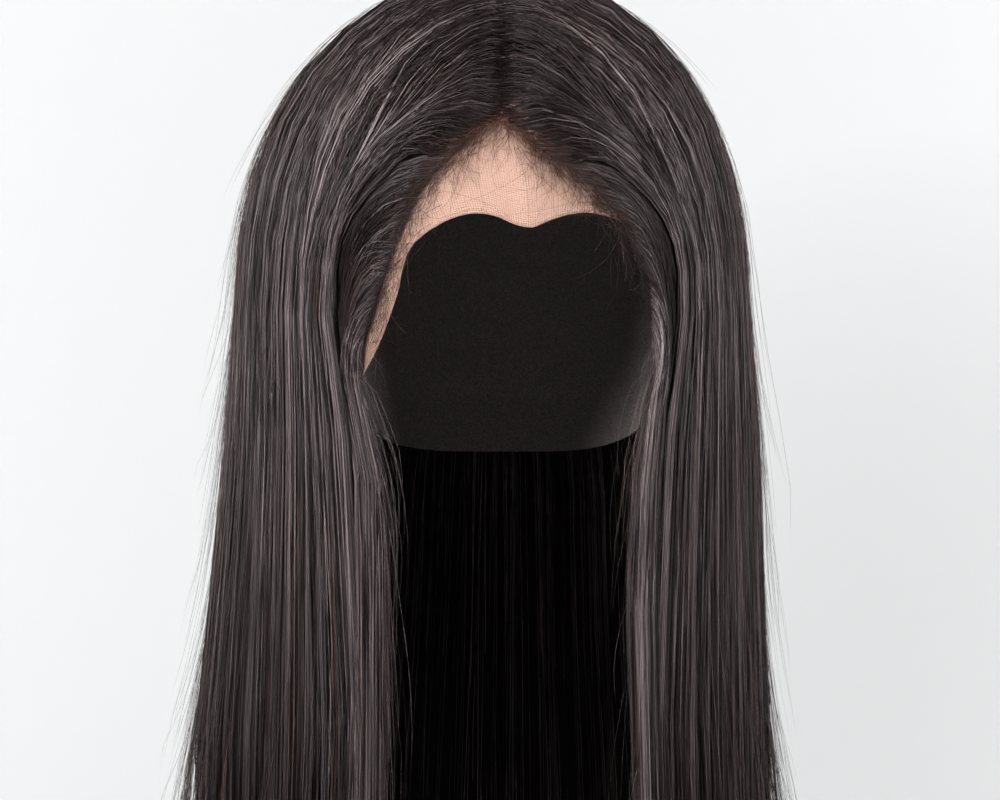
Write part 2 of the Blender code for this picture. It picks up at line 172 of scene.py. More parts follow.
SHOULDER_V = 0.36
TEMPLE_Z = -137.0
LEAVE_HEAD_Z = -137.0
FREE_OF_HEAD_Z = -180.0
TIP_Z_FRONT = -408.0
TIP_Z_BACK = -430.0

# Outer sections: where each starts and ends round its side, how many locks it has, its share of
# the strands, what part of these lies along its edge, and above what part they lie inside
SECTIONS = (
    {"name": "front", "from": 0.043, "to": 0.22, "locks": 3, "share": 1.00, "edge": 0.12, "outside": 0.86},
    {"name": "side", "from": 0.22, "to": 0.42, "locks": 4, "share": 0.80, "edge": 0.0, "outside": 0.86},
    {"name": "rear", "from": 0.42, "to": 0.70, "locks": 4, "share": 0.36, "edge": 0.0, "outside": 0.62},
    {"name": "back", "from": 0.70, "to": 1.00, "locks": 4, "share": 0.30, "edge": 0.0, "outside": 0.62},
)
LOCK_FULLNESS = 0.7
LOCK_RELIEF = 1.4
BASE_DEPTH = 4.2
ROOT_BACK = 0.19
CLOSE_U = 0.026
TIP_NOTCH = 16.0
CROSS_U = 0.045
CROSS_END_V = 0.27

# Lap of the front section over the temple section
LAP_U = 0.100
LAP_ROOT_U = 0.075
LAP_WIDTH = 0.012
LAP_END_V = 0.12
LAP_DEPTH = 0.50
LAP_SEAT = 5.4

# Temple sections: across from the face edge
TEMPLE_ACROSS = (
    {"u": 0.0000, "outer": 0.35, "inner": 0.80, "lift": 4.0},
    {"u": 0.0060, "outer": 0.08, "inner": 1.00, "lift": 6.6},
    {"u": 0.0180, "outer": 0.00, "inner": 1.00, "lift": 7.4},
    {"u": 0.0300, "outer": 0.06, "inner": 1.00, "lift": 7.0},
    {"u": 0.0395, "outer": 0.58, "inner": 1.00, "lift": 4.6},
    {"u": 0.0520, "outer": 0.58, "inner": 1.00, "lift": 4.6},
    {"u": 0.0650, "outer": 0.58, "inner": 1.00, "lift": 4.6},
    {"u": 0.0780, "outer": 0.60, "inner": 1.00, "lift": 4.4},
    {"u": 0.0920, "outer": 0.68, "inner": 0.98, "lift": 3.8},
)
TEMPLE_SHOULDER_V = 0.38
TEMPLE_ROOT_LIFT = 3.2
TEMPLE_LIFT_V = 0.2
TEMPLE_FULLNESS_EDGE = 1.45
TEMPLE_FULLNESS_PEAK = 2.35

# Stations along a strand, closer on the arc than in the fall, and the fine steps before them
OUTER_STATIONS = np.array([0.0, 0.009, 0.027, 0.058, 0.096, 0.14, 0.185, 0.23, 0.275, 0.32, 0.37, 0.47,
                           0.70, 1.0])
TEMPLE_STATIONS = np.array([0.0, 0.03, 0.07, 0.115, 0.16, 0.205, 0.25, 0.295, 0.34, 0.39, 0.46, 0.57,
                            0.76, 1.0])
FINE_STEPS = np.linspace(0.0, 1.0, 71) ** 1.4
SMOOTH_PASSES = 5

# Bake maps: a strand's tile, and the strips of a wall's faces and ends
TILE_LENGTH = 6.0
TILE_U = {"start": 0.12, "length": 0.76}
TILE_V = {"start": 0.02, "length": 0.96}
WALL_STRIP = 0.94
HEAD_STRIP = (0.95, 0.97, 0.97, 0.95)
FOOT_STRIP = (0.98, 0.98, 1.0, 1.0)

# Seeds of the random numbers
SEEDS = {"section": 11, "section_step": 7, "temple": 301, "loose": 501, "fringe": 701, "right": 100}

# Ramps from 0 to 1: start and length
RAMPS = {
    "sway": (0.0, 0.12), "full_width": (0.0, 0.05), "thin_end": (0.8, 0.2),
    "base_end": (0.85, 0.15), "behind_peak": (0.15, 0.12), "past_peak": (0.08, 0.07),
    "relief": (0.0, 0.1), "root_light": (0.0, 0.16), "fall_shade": (0.34, 0.40),
    "buried": (0.4, 2.4), "closing": (0.38, 0.16), "near_edge": (0.0, 0.05),
    "crossing": (0.01, 0.06), "root_scatter": (0.0, 0.03), "off_lace": (0.0, 0.04),
    "past_hairline": (0.10, 0.04), "part_contrast": (0.12, 0.30), "temple_base": (0.07, 0.09),
    "temple_gather": (0.0, 0.40), "temple_off_lace": (0.0, 0.07), "temple_buried": (0.0, 3.5),
    "gap_across": (0.022, 0.014), "gap_from": (0.0, 0.18), "gap_until": (0.42, 0.12),
    "lace_shade": (0.25, 0.75), "tab_shade": (0.40, 0.35),
}

# Even random values: least and most
RANGES = {
    "warm": (0.1, 0.5), "width": (0.72, 1.25), "roll": (0.0, 6.28), "inside": (0.93, 1.03),
    "sway_turns": (0.8, 2.2), "sway_start": (0.0, 2.0), "stray_turns": (1.0, 3.5),
    "ripple_turns": (0.6, 2.5), "rooted": (0.1, 1.1), "edge_rooted": (-0.1, 0.5),
    "crossing": (0.2, 1.0), "edge_depth": (0.0, 9.0), "uneven": (-0.85, 0.45),
    "temple_gather": (0.0, 0.95), "temple_deep": (0.0, 12.0), "temple_bright": (0.7, 1.1),
    "temple_uneven": (-1.0, 1.0), "loose_place": (0.05, 0.98), "loose_length": (0.10, 0.40),
    "loose_turns": (0.4, 1.4), "loose_end": (-6.0, 20.0), "loose_width": (0.8, 1.4),
    "loose_tone": (0.2, 0.9), "edge_start": (0.15, 0.75), "edge_length": (0.08, 0.30),
    "edge_place": (0.0, 0.03), "edge_turns": (0.4, 1.0), "root_lift": (0.2, 1.0),
    "root_width": (0.7, 1.3), "root_tone": (0.1, 0.8), "root_warm": (0.0, 0.5),
    "baby_up": (-2.0, 2.0), "baby_floor": (-1.0, 4.0), "baby_lift": (0.1, 1.0),
    "baby_width": (0.8, 1.4), "baby_tone": (0.0, 0.7), "baby_warm": (0.0, 0.3),
}

# Random values round a mean: mean and spread
SPREADS = {
    "sway": (0.0, 0.0032), "stray": (0.0, 0.0014), "drift": (0.0, 0.0035), "rooted": (0.0, 0.08),
    "ripple": (0.0, 0.4), "root_scatter": (0.6, 1.3), "temple_gather": (0.0, 0.06),
    "temple_ripple": (0.0, 0.3), "loose_place": (0.40, 0.09), "loose_wave": (0.0, 0.005),
    "loose_drift": (0.0, 0.018), "root_heading": (0.75, 0.45), "root_bend": (0.0, 0.5),
    "baby_heading": (-0.1, 0.65), "baby_bend": (0.9, 1.0),
}

# Random lengths in millimetres with a long tail: shape and scale
GAMMAS = {
    "cut_short": (2.0, 18.0), "uneven_end": (2.0, 4.0), "stand": (1.2, 3.0), "swing": (1.3, 2.6),
    "root_off": (1.4, 1.8), "root_length": (3.0, 4.0), "baby_length": (3.0, 6.0),
}

# Random shares between 0 and 1: the two shape numbers
BETAS = {
    "clump_tone": (1.3, 2.0), "own_tone": (0.55, 1.0), "root_along": (1.4, 1.0), "baby_along": (1.2, 1.1),
}

# Share of strands or clumps that something happens to
CHANCES = {
    "warm": 0.006, "cut_short": 0.22, "crossing": 0.34, "temple_edge": 0.14, "temple_stays": 0.3,
    "temple_deep": 0.12, "temple_bright": 0.33, "outline": 0.62, "loose_warm": 0.1,
}

# Strands: clumps, widths and ends
CLUMP_SIZE = 10
CLUMP_SPREAD_U = 0.0032
CLUMP_WIDTH = 1.2
CLUMP_NARROWING = 0.65
CLUMP_TONE = 0.3
OWN_TONE = 0.8
ROOT_WIDTH = 0.6
END_THINNING = 0.6
DARK_WIDTH = 0.86
LIGHT_WIDTH = 0.42
END_REACH = 6.0
LONGEST_CUT = 120.0

# Strands of the outer sections: where they lie
EDGE_WIDTH = 0.04
SECTION_SPILL = 0.002
ROOT_SPILL = 0.003
INSIDE_FROM_V = 0.30
ROOT_BACK_V = 0.36
ROOT_BACK_FADE = 0.5
THINNEST = 0.5
CLUMP_DEPTH = 2.8
CLUMP_DEPTH_POWER = 1.2
ASIDE_DEPTH = 0.35
ASIDE_DEPTH_POWER = 1.4
DEPTH_LIFT = 0.3
DEEPEST_SHARE = 0.9
HIGHEST_SHARE = -0.1
ROOT_LIFT = 0.6

# Light that reaches a strand
ROOT_LIGHT = 0.30
TOP_LIGHT = 1.10
FALL_SHADE = 0.38
BURIED_SHADE = 0.75

# Base walls: grid, start, depth and end
BASE_COLUMNS = 25
BASE_ROWS = 45
BASE_CROWDING = 1.3
BASE_EDGE_U = 0.012
BASE_PART_V = 0.012
BASE_LATE_V = 0.15
BASE_JAG = {"height": 5.0, "first": 400.0, "second": 173.0}
BASE_END = 32.0
BASE_ROOT_DEPTH = 0.86
BASE_ROOT_RISE = 0.50
BASE_RISE_V = 0.08
BASE_MIDDLE = 0.6
BASE_REACH = 0.34
BASE_TAPER = 0.8
FLOW_ACROSS = 300.0
FLOW_ALONG = 450.0
TEMPLE_BASE = {"columns": 24, "crowding": 1.25, "from_u": 0.002, "from_v": 0.07, "end": 30.0, "depth": 2.4,
               "depth_share": 0.45, "root_depth": 0.8, "reach": 0.35}

# Strands of the temple sections
TEMPLE_CLUMP_SIZE = 9
TEMPLE_SPREAD_U = 0.0022
STAYS_GATHER = 0.15
TEMPLE_DEPTH = 2.0
TEMPLE_DEPTH_POWER = 1.3
TEMPLE_ASIDE_DEPTH = 0.3
TEMPLE_LACE_LIFT = 0.4
TEMPLE_WIDTH = 0.9
TEMPLE_DIM = 0.55
TEMPLE_LIGHT_WIDTH = 0.5
TEMPLE_SHADE = 0.6
TEMPLE_LIGHT = 0.84
TEMPLE_UNEVEN = 0.45
GAP_SHADE = 0.92

# Single hairs off the surface
LOOSE_STATIONS = 8
OUTLINE_POWER = 0.7
LOOSE_FROM_V = 0.05
LOOSE_OVER_V = 0.80
LOOSE_LEAST_U = 0.045
LOOSE_MOST_U = 0.999
STAND_POWER = 1.5
STAND_TOP = 0.6
STAND_LEAST = 0.2
STAND_MOST = 12.0
SWING_MOST = 11.0
EDGE_HAIR_PART = 4
LOOSE_WARM = 0.6

# Short hairs along the hairline
UP_ASIDE = 0.75
UP_RISE = 0.55
ROOT_HAIRS = {"part": 0.78, "stations": 6, "up": 2.0, "seat": 0.1, "lift": 2.6, "radius": 0.075,
              "lit": 0.22}
BABY_HAIRS = {"left": 0.08, "right": 0.24, "stations": 9, "until": 0.97, "across": 24.0, "past": 2.0,
              "seat": 0.15, "lift": 1.6, "radius": 0.05, "lit": 0.3}

# Camera: straight from the front, a little below the hairline
CAMERA_Z = -0.113
VIEW_DISTANCE = 1.5
PICTURE_WIDTH_PX = 1000
PICTURE_HEIGHT_PX = 800
MIDDLE_X_PX = 503.0
CAMERA_Y_PX = 323.0
METRES_PER_PX = 0.00039
SENSOR_MM = 36.0
KEY_SPREAD = math.radians(31.0)
# Painted shadow on the backdrop, low on the right: its middle across and up, how fast it fades, and its
# tone
SHADOW_X = 0.50
SHADOW_Z = -0.42
SHADOW_FALL = 3.6
SHADOW_TONE = 0.84
LACE_SHADE = 0.62

# Tones of the finishes, and the grain and painted highlights of the strands
SHADED = 0.3
PALER = 1.25
CAP_THREAD = 1.5
KNOT_TONE = 2.5
FINE_ROUGHER = 0.05
STRAND_GRAIN_AND_GLINTS = {"tones": 91.0, "fine": 34.0, "locks": 63.0, "broad": 9.0, "apart": 5.0, "weight": 1.1,
                "less": 1.25, "power": 1.3, "rough": 0.24}
# Streaks of painted shade in the base walls
BASE_SHADE_STREAKS = {"fine_across": 1.1, "fine_along": 0.012, "broad_across": 0.18, "broad_along": 0.006,
              "apart": 3.0, "fine": 0.8, "broad": 0.5, "less": 0.3}
BASE_BUMP = {"strength": 0.8, "distance": 0.0006}
NET_TURN = 7.0
NET_OPEN = 0.25
NET_BUMP = {"strength": 0.5, "distance": 0.0002}
CAP_CELLS = 1500.0
CAP_SHARP = 3.0
CAP_BUMP = {"strength": 0.3, "distance": 0.0003}
THREAD_CLOUD = 60.0

# Backdrop in metres: a floor that bends up into a wall
BACKDROP = {"half_width": 6.0, "front": -7.0, "bend": 1.6, "radius": 1.2, "wall": 2.8, "top": 7.0}

# Lamps: which power of the stage each takes and how many times
HEAD_TARGET = (0.0, 0.0, -0.06)
ALL_ROUND = math.radians(180.0)
LAMPS = (
    {"name": "key_left", "at": (-0.80, -1.05, 0.18), "to": HEAD_TARGET, "size": (0.45, 0.45),
     "power": "key", "times": 1.06, "spread": KEY_SPREAD},
    {"name": "key_right", "at": (0.90, -1.0, 0.15), "to": HEAD_TARGET, "size": (0.45, 0.45),
     "power": "key", "times": 0.70, "spread": KEY_SPREAD},
    {"name": "fill", "at": (0.0, -1.9, -0.35), "to": (0.0, 0.0, -0.25), "size": (0.5, 0.5),
     "power": "fill", "times": 1.0, "spread": ALL_ROUND},
    {"name": "top", "at": (-0.35, -0.75, 0.95), "to": HEAD_TARGET, "size": (0.5, 0.4),
     "power": "top", "times": 1.0, "spread": ALL_ROUND},
    {"name": "wall_left", "at": (-1.6, 1.0, 0.4), "to": (-0.3, 2.8, 0.0), "size": (0.6, 1.6),
     "power": "wall", "times": 1.0, "spread": ALL_ROUND},
    {"name": "wall_right", "at": (1.6, 1.0, 0.4), "to": (0.3, 2.8, 0.0), "size": (0.6, 1.6),
     "power": "wall", "times": 1.0, "spread": ALL_ROUND},
)

# Lace: its net of upright and cross threads, and its ground
NET = {"stations": 12, "upright_lift": 0.55, "cross_lift": 0.62, "cross_points": 64, "first_cross": 0.35,
       "fewest": 4, "evened": 5}
GROUND = {"columns": 101, "rows": 45, "outer": 0.45, "inner": 0.15, "flow": 60.0, "hem": 0.06}
BARE = {"steps": 81, "knots": 60, "past": 0.5, "top_z": -33.0, "least": 0.05}
SEAM_LAP = 0.3


# Shape formulas


def curve_at(rows, key, column, at):
    """Smooth curve through one column of a table: cubic pieces whose slopes at the rows are the
    weighted differences of their neighbours.
    """
    places = np.array([row[key] for row in rows])
    values = np.array([row[column] for row in rows])
    if places[0] > places[-1]:
        places = places[::-1]
        values = values[::-1]
    slopes = np.gradient(values, places)
    at = np.clip(np.asarray(at, dtype=float), places[0], places[-1])
    low = np.clip(np.searchsorted(places, at, side="right") - 1, 0, len(places) - 2)
    span = places[low + 1] - places[low]
    share = (at - places[low]) / span
    square = share * share
    cube = square * share
    start = (2 * cube - 3 * square + 1) * values[low]
    end = (3 * square - 2 * cube) * values[low + 1]
    leave = (cube - 2 * square + share) * span * slopes[low]
    arrive = (cube - square) * span * slopes[low + 1]
    return start + end + leave + arrive


def smooth_step(share):
    """Ease from 0 to 1 with level ends: 3 s squared less 2 s cubed."""
    share = np.clip(share, 0.0, 1.0)
    return share * share * (3.0 - 2.0 * share)


def mix(first, second, share):
    """Straight blend of two arrays of points."""
    return first + (second - first) * np.asarray(share)[..., None]


def on_head(points, offset):
    """Points moved onto the head form grown by an offset: along rays from its middle above the
    middle, and level below it. The form is an oval of the power HEAD_FULLNESS.
    """
    local = points - HEAD_MIDDLE
    rise = np.where(local[..., 2] > 0.0, HEAD_RISE, HEAD_DROP) + offset
    plan = (np.abs(local[..., 0]) / (HEAD_HALF_WIDTH + offset)) ** HEAD_FULLNESS
    plan = plan + (np.abs(local[..., 1]) / (HEAD_HALF_LENGTH + offset)) ** HEAD_FULLNESS
    height = np.clip(np.abs(local[..., 2]) / rise, 0.0, 0.98) ** HEAD_FULLNESS
    level = ((1.0 - height) / np.maximum(plan, 1e-9)) ** (1.0 / HEAD_FULLNESS)
    radial = (plan + (np.abs(local[..., 2]) / rise) ** HEAD_FULLNESS) ** (-1.0 / HEAD_FULLNESS)
    above = local[..., 2] > 0.0
    scale = np.where(above, radial, level)
    moved = np.stack([local[..., 0] * scale, local[..., 1] * scale,
                      local[..., 2] * np.where(above, radial, 1.0)], axis=-1)
    return moved + HEAD_MIDDLE


def front_of_head(x, z, offset):
    """Points on the front of the head form at the given x and z."""
    x = np.asarray(x, dtype=float)
    local_z = np.asarray(z, dtype=float) - HEAD_MIDDLE[2]
    rise = np.where(local_z > 0.0, HEAD_RISE, HEAD_DROP) + offset
    used = (np.abs(x) / (HEAD_HALF_WIDTH + offset)) ** HEAD_FULLNESS
    used = used + (np.abs(local_z) / rise) ** HEAD_FULLNESS
    y = -(HEAD_HALF_LENGTH + offset) * np.maximum(1.0 - used, 0.0) ** (1.0 / HEAD_FULLNESS)
    return np.stack(np.broadcast_arrays(x, y, np.asarray(z, dtype=float)), axis=-1)


def plan_at(side, u, z, inset):
    """Point of the hanging hair at u and height z: an oval of the power PLAN_FULLNESS whose half
    width and depths come from the levels, started at the face edge and moved in by the inset.
    """
    name = SIDE_NAMES[side]
    half = curve_at(LEVELS, "z", name, z)
    edge = curve_at(LEVELS, "z", "edge_" + name, z)
    inside = half - EDGE_DEPTH * curve_at(LEVELS, "z", "thick", z)
    start = np.arcsin((edge / inside) ** (PLAN_FULLNESS / 2.0))
    angle = start + (math.pi - start) * u
    across = np.abs(np.sin(angle)) ** (2.0 / PLAN_FULLNESS)
    along = np.abs(np.cos(angle)) ** (2.0 / PLAN_FULLNESS)
    ahead = np.cos(angle) > 0.0
    depth = np.where(ahead, curve_at(LEVELS, "z", "front", z), curve_at(LEVELS, "z", "back", z))
    x = side * (half - inset) * across
    y = np.where(ahead, -1.0, 1.0) * (depth - inset) * along
    return np.stack(np.broadcast_arrays(x, y, z), axis=-1)


def lap_share(u, v):
    """Where the front section lies over the temple section, 1 on it and 0 past it."""
    end = LAP_ROOT_U + (LAP_U - LAP_ROOT_U) * smooth_step(v / LAP_END_V)
    return 1.0 - smooth_step((u - end) / LAP_WIDTH)


def seat_height(u, v):
    """Height of the inner face off the head form."""
    return CAP_WALL + SEAT_GAP + (LAP_SEAT - CAP_WALL - SEAT_GAP) * lap_share(u, v)


def quarter_oval(top, foot, share, full):
    """Way from a top point out and down to a foot point: out by the sine and down by the cosine of
    a quarter turn, each to the power 2 over the fullness.
    """
    turn = 0.5 * math.pi * np.clip(share, 0.0, 1.0)
    out = np.abs(np.sin(turn)) ** (2.0 / full)
    down = np.abs(np.cos(turn)) ** (2.0 / full)
    return np.stack([top[..., 0] + (foot[..., 0] - top[..., 0]) * out,
                     top[..., 1] + (foot[..., 1] - top[..., 1]) * out,
                     foot[..., 2] + (top[..., 2] - foot[..., 2]) * down], axis=-1)


def fallen_to(side, u, v, first_v, first_z, tip_z):
    """Point of the fall that starts at first_v and first_z."""
    share = np.clip((v - first_v) / (1.0 - first_v), 0.0, 1.0)
    return plan_at(side, u, first_z + (tip_z - first_z) * share, 0.0)


def outer_path(side, u, v, tip_z):
    """Outer face of the hair: out of the groove at its root, along a quarter oval to the shoulder
    level, then down the levels. The groove sinks the arc by a bell curve of its reach, less so
    behind the hairline.
    """
    rows = ROOTS[side]
    full = curve_at(rows, "u", "full", u)
    root = np.stack([side * curve_at(rows, "u", "x", u), curve_at(rows, "u", "y", u), 0.0 * u],
                    axis=-1)
    plan = (np.abs(root[..., 0]) / HEAD_HALF_WIDTH) ** HEAD_FULLNESS
    plan += (np.abs(root[..., 1]) / HEAD_HALF_LENGTH) ** HEAD_FULLNESS
    root[..., 2] = HEAD_MIDDLE[2] + HEAD_RISE * (1.0 - plan) ** (1.0 / HEAD_FULLNESS)
    crest = on_head(root, curve_at(rows, "u", "rise", u))
    sunk = crest - on_head(root, seat_height(u, 0.0 * u) + ROOT_THICK)
    sunk = sunk * (1.0 - PART_SINK * smooth_step((u - PART_SINK_FROM) / PART_SINK_OVER))[..., None]
    foot = plan_at(side, u, np.full_like(u, SHOULDER_Z), 0.0)
    arc = quarter_oval(crest, foot, v / SHOULDER_V, full)
    reach = np.hypot(arc[..., 0] - crest[..., 0], arc[..., 1] - crest[..., 1])
    arc = arc - sunk * np.exp(-((reach / PART_GROOVE) ** 2))[..., None]
    fall = fallen_to(side, u, v, SHOULDER_V, SHOULDER_Z, tip_z)
    return np.where((v <= SHOULDER_V)[..., None], arc, fall)


def hang_share(z):
    """How far the hair has left the head form for its fall, 0 above and 1 below."""
    return smooth_step((LEAVE_HEAD_Z - z) / (LEAVE_HEAD_Z - FREE_OF_HEAD_Z))


def settle(side, u, path, off_head, depth):
    """Face that lies a height off the head form first, then at a depth in the falling hair."""
    low = np.minimum(path[..., 2], SHOULDER_Z)
    hanging = plan_at(side, u, low, depth * curve_at(LEVELS, "z", "thick", low))
    return mix(on_head(path, off_head), hanging, hang_share(path[..., 2]))


def temple_path(side, u, v, tip_z):
    """Line of a temple section: from the hairline along a quarter oval to the temple level, then
    down the levels.
    """
    share = np.clip(u / TEMPLE_ACROSS[-1]["u"], 0.0, 1.0)
    root_x = curve_at(HAIRLINE[side], "share", "x", share) * side
    root = front_of_head(root_x, curve_at(HAIRLINE[side], "share", "z", share), LACE_WALL)
    foot = plan_at(side, u, np.full_like(u, TEMPLE_Z), 0.0)
    full = TEMPLE_FULLNESS_EDGE + (TEMPLE_FULLNESS_PEAK - TEMPLE_FULLNESS_EDGE) * smooth_step(share)
    arc = quarter_oval(root, foot, v / TEMPLE_SHOULDER_V, full)
    fall = fallen_to(side, u, v, TEMPLE_SHOULDER_V, TEMPLE_Z, tip_z)
    return np.where((v <= TEMPLE_SHOULDER_V)[..., None], arc, fall)


def outer_faces(side, u, v, tip_z):
    """Outer and inner face of an outer section."""
    outer = outer_path(side, u, v, tip_z)
    inner = settle(side, u, outer, seat_height(u, v), 1.0 - (1.0 - LAP_DEPTH) * lap_share(u, v))
    return outer, inner


def temple_faces(side, u, v, tip_z):
    """Outer and inner face of a temple section."""
    places = [row["u"] for row in TEMPLE_ACROSS]
    depth_out = np.interp(u, places, [row["outer"] for row in TEMPLE_ACROSS])
    depth_in = np.interp(u, places, [row["inner"] for row in TEMPLE_ACROSS])
    lift = np.interp(u, places, [row["lift"] for row in TEMPLE_ACROSS])
    lift = TEMPLE_ROOT_LIFT + (lift - TEMPLE_ROOT_LIFT) * smooth_step(v / TEMPLE_LIFT_V)
    path = temple_path(side, u, v, tip_z)
    outer = settle(side, u, path, lift, depth_out)
    inner = settle(side, u, path, LACE_WALL + TEMPLE_GAP, depth_in)
    return outer, inner


def eased(paths):
    """Paths with their kinks eased: each point moves to the weighted mean of itself (2) and its
    neighbours (1 and 1), a few times over. Both ends stay.
    """
    for _ in range(SMOOTH_PASSES):
        paths[:, 1:-1] = 0.25 * (paths[:, :-2] + 2.0 * paths[:, 1:-1] + paths[:, 2:])
    return paths


def at_stations(paths, stations):
    """Points of fine paths at fewer stations, on the straight between two fine steps."""
    low = np.clip(np.searchsorted(FINE_STEPS, stations, side="right") - 1, 0, len(FINE_STEPS) - 2)
    share = (stations - FINE_STEPS[low]) / (FINE_STEPS[low + 1] - FINE_STEPS[low])
    return paths[:, low] + (paths[:, low + 1] - paths[:, low]) * share[None, :, None]


def tip_height(u):
    """Mean height of the hair's ends."""
    return TIP_Z_FRONT + (TIP_Z_BACK - TIP_Z_FRONT) * smooth_step(u)


def lock_relief(section, u):
    """How far a point is between two locks, 0 in the middle of a lock and 1 between two."""
    place = section["locks"] * (u - section["from"]) / (section["to"] - section["from"])
    return 1.0 - np.abs(np.sin(math.pi * place)) ** LOCK_FULLNESS


# Meshes


def new_object(name, points, corners, starts, material):
    """Object from points in millimetres, the face corners one after another and where each face
    starts among them.
    """
    mesh = bpy.data.meshes.new(name)
    mesh.vertices.add(len(points))
    mesh.vertices.foreach_set("co", (points * MILLIMETRE).astype(np.float32).ravel())
    mesh.loops.add(len(corners))
    mesh.loops.foreach_set("vertex_index", corners.astype(np.int32))
    mesh.polygons.add(len(starts))
    mesh.polygons.foreach_set("loop_start", starts.astype(np.int32))
    mesh.polygons.foreach_set("use_smooth", np.ones(len(starts), dtype=bool))
    mesh.materials.append(material)
    mesh.update(calc_edges=True)
    mesh.validate()
    item = bpy.data.objects.new(name, mesh)
    bpy.context.collection.objects.link(item)
    return item


def add_values(item, name, values):
    """One number for each point, which the material reads."""
    layer = item.data.attributes.new(name, "FLOAT", "POINT")
    layer.data.foreach_set("value", values.astype(np.float32).ravel())


def add_bake_map(item, places):
    """Map of the piece's own, one place for each face corner."""
    layer = item.data.uv_layers.new(name="OFBake")
    layer.data.foreach_set("uv", places.astype(np.float32).ravel())


def strands(name, paths, radius, roll, values, material):
    """Closed strands: a triangle carried along each path, drawn to a point at its end and shut by
    a face at its root. Corner k of a ring lies at the path plus the radius times the cosine and
    sine of roll + 120 k degrees along two directions square to the path. A value is one number a
    strand, or one for each of its stations.
    """
    count, stations = paths.shape[:2]
    along = np.gradient(paths, axis=1)
    along /= np.maximum(np.linalg.norm(along, axis=-1, keepdims=True), 1e-9)
    lean = np.where(np.abs(along[..., 2:3]) > 0.9, np.array([0.0, 1.0, 0.0]), np.array([0.0, 0.0, 1.0]))
    lean = np.broadcast_to(lean[:, stations // 2:stations // 2 + 1], along.shape)
    first = np.cross(along, lean)
    first /= np.maximum(np.linalg.norm(first, axis=-1, keepdims=True), 1e-9)
    second = np.cross(along, first)
    turn = roll[:, None] + np.arange(3) * (2.0 * math.pi / 3.0)
    ring = (np.cos(turn)[:, None, :, None] * first[:, :, None, :]
            + np.sin(turn)[:, None, :, None] * second[:, :, None, :])
    body = paths[:, :-1, None, :] + radius[:, :-1, None, None] * ring[:, :-1]
    body = body.reshape(count, -1, 3)
    points = np.concatenate([body, paths[:, -1:, :]], axis=1)
    per = points.shape[1]
    rings = stations - 1
    low = (np.arange(rings - 1)[:, None] * 3 + np.arange(3)[None, :]).ravel()
    after = (np.arange(rings - 1)[:, None] * 3 + (np.arange(3)[None, :] + 1) % 3).ravel()
    quads = np.stack([low, after, after + 3, low + 3], axis=1).ravel()
    last = (rings - 1) * 3
    ends = np.array([[last, last + 1, per - 1], [last + 1, last + 2, per - 1],
                     [last + 2, last, per - 1], [2, 1, 0]]).ravel()
    one = np.concatenate([quads, ends])
    sizes = np.concatenate([np.full(len(quads) // 4, 4), np.full(4, 3)])
    corners = (one[None, :] + (np.arange(count) * per)[:, None]).ravel()
    starts = np.concatenate([[0], np.cumsum(np.tile(sizes, count))[:-1]])
    item = new_object(name, points.reshape(-1, 3), corners, starts, material)
    share = np.linspace(0.0, 1.0, stations)
    along_share = np.concatenate([np.repeat(share[:-1], 3), share[-1:]])
    add_values(item, "along", np.tile(along_share, count))
    for key, value in values.items():
        rows = np.broadcast_to(np.asarray(value, dtype=float).reshape(count, -1), (count, stations))
        add_values(item, key, np.concatenate([np.repeat(rows[:, :-1], 3, axis=1), rows[:, -1:]], axis=1))
    columns = int(math.ceil(math.sqrt(count * TILE_LENGTH)))
    rows = int(math.ceil(count / columns))
    turned = np.arange(3)
    side_u = np.stack([turned, turned + 1, turned + 1, turned], axis=1) / 3.0
    quad_u = np.tile(side_u, (rings - 1, 1)).ravel()
    step = np.repeat(np.arange(rings - 1), 3)
    quad_v = np.stack([step, step, step + 1, step + 1], axis=1).ravel() / rings
    end_u = np.array([0.0, 1.0, 0.5, 1.0, 2.0, 1.5, 2.0, 3.0, 2.5, 0.2, 0.3, 0.4]) / 3.0
    end_v = np.array([rings - 1.0, rings - 1.0, rings] * 3 + [0.02, 0.06, 0.02]) / rings
    one_u = TILE_U["start"] + TILE_U["length"] * np.concatenate([quad_u, end_u])
    one_v = TILE_V["start"] + TILE_V["length"] * np.concatenate([quad_v, end_v])
    column = np.arange(count) % columns
    row = np.arange(count) // columns
    place = np.stack([(column[:, None] + one_u[None, :]) / columns,
                      (row[:, None] + one_v[None, :]) / rows], axis=-1)
    add_bake_map(item, place)
    return item


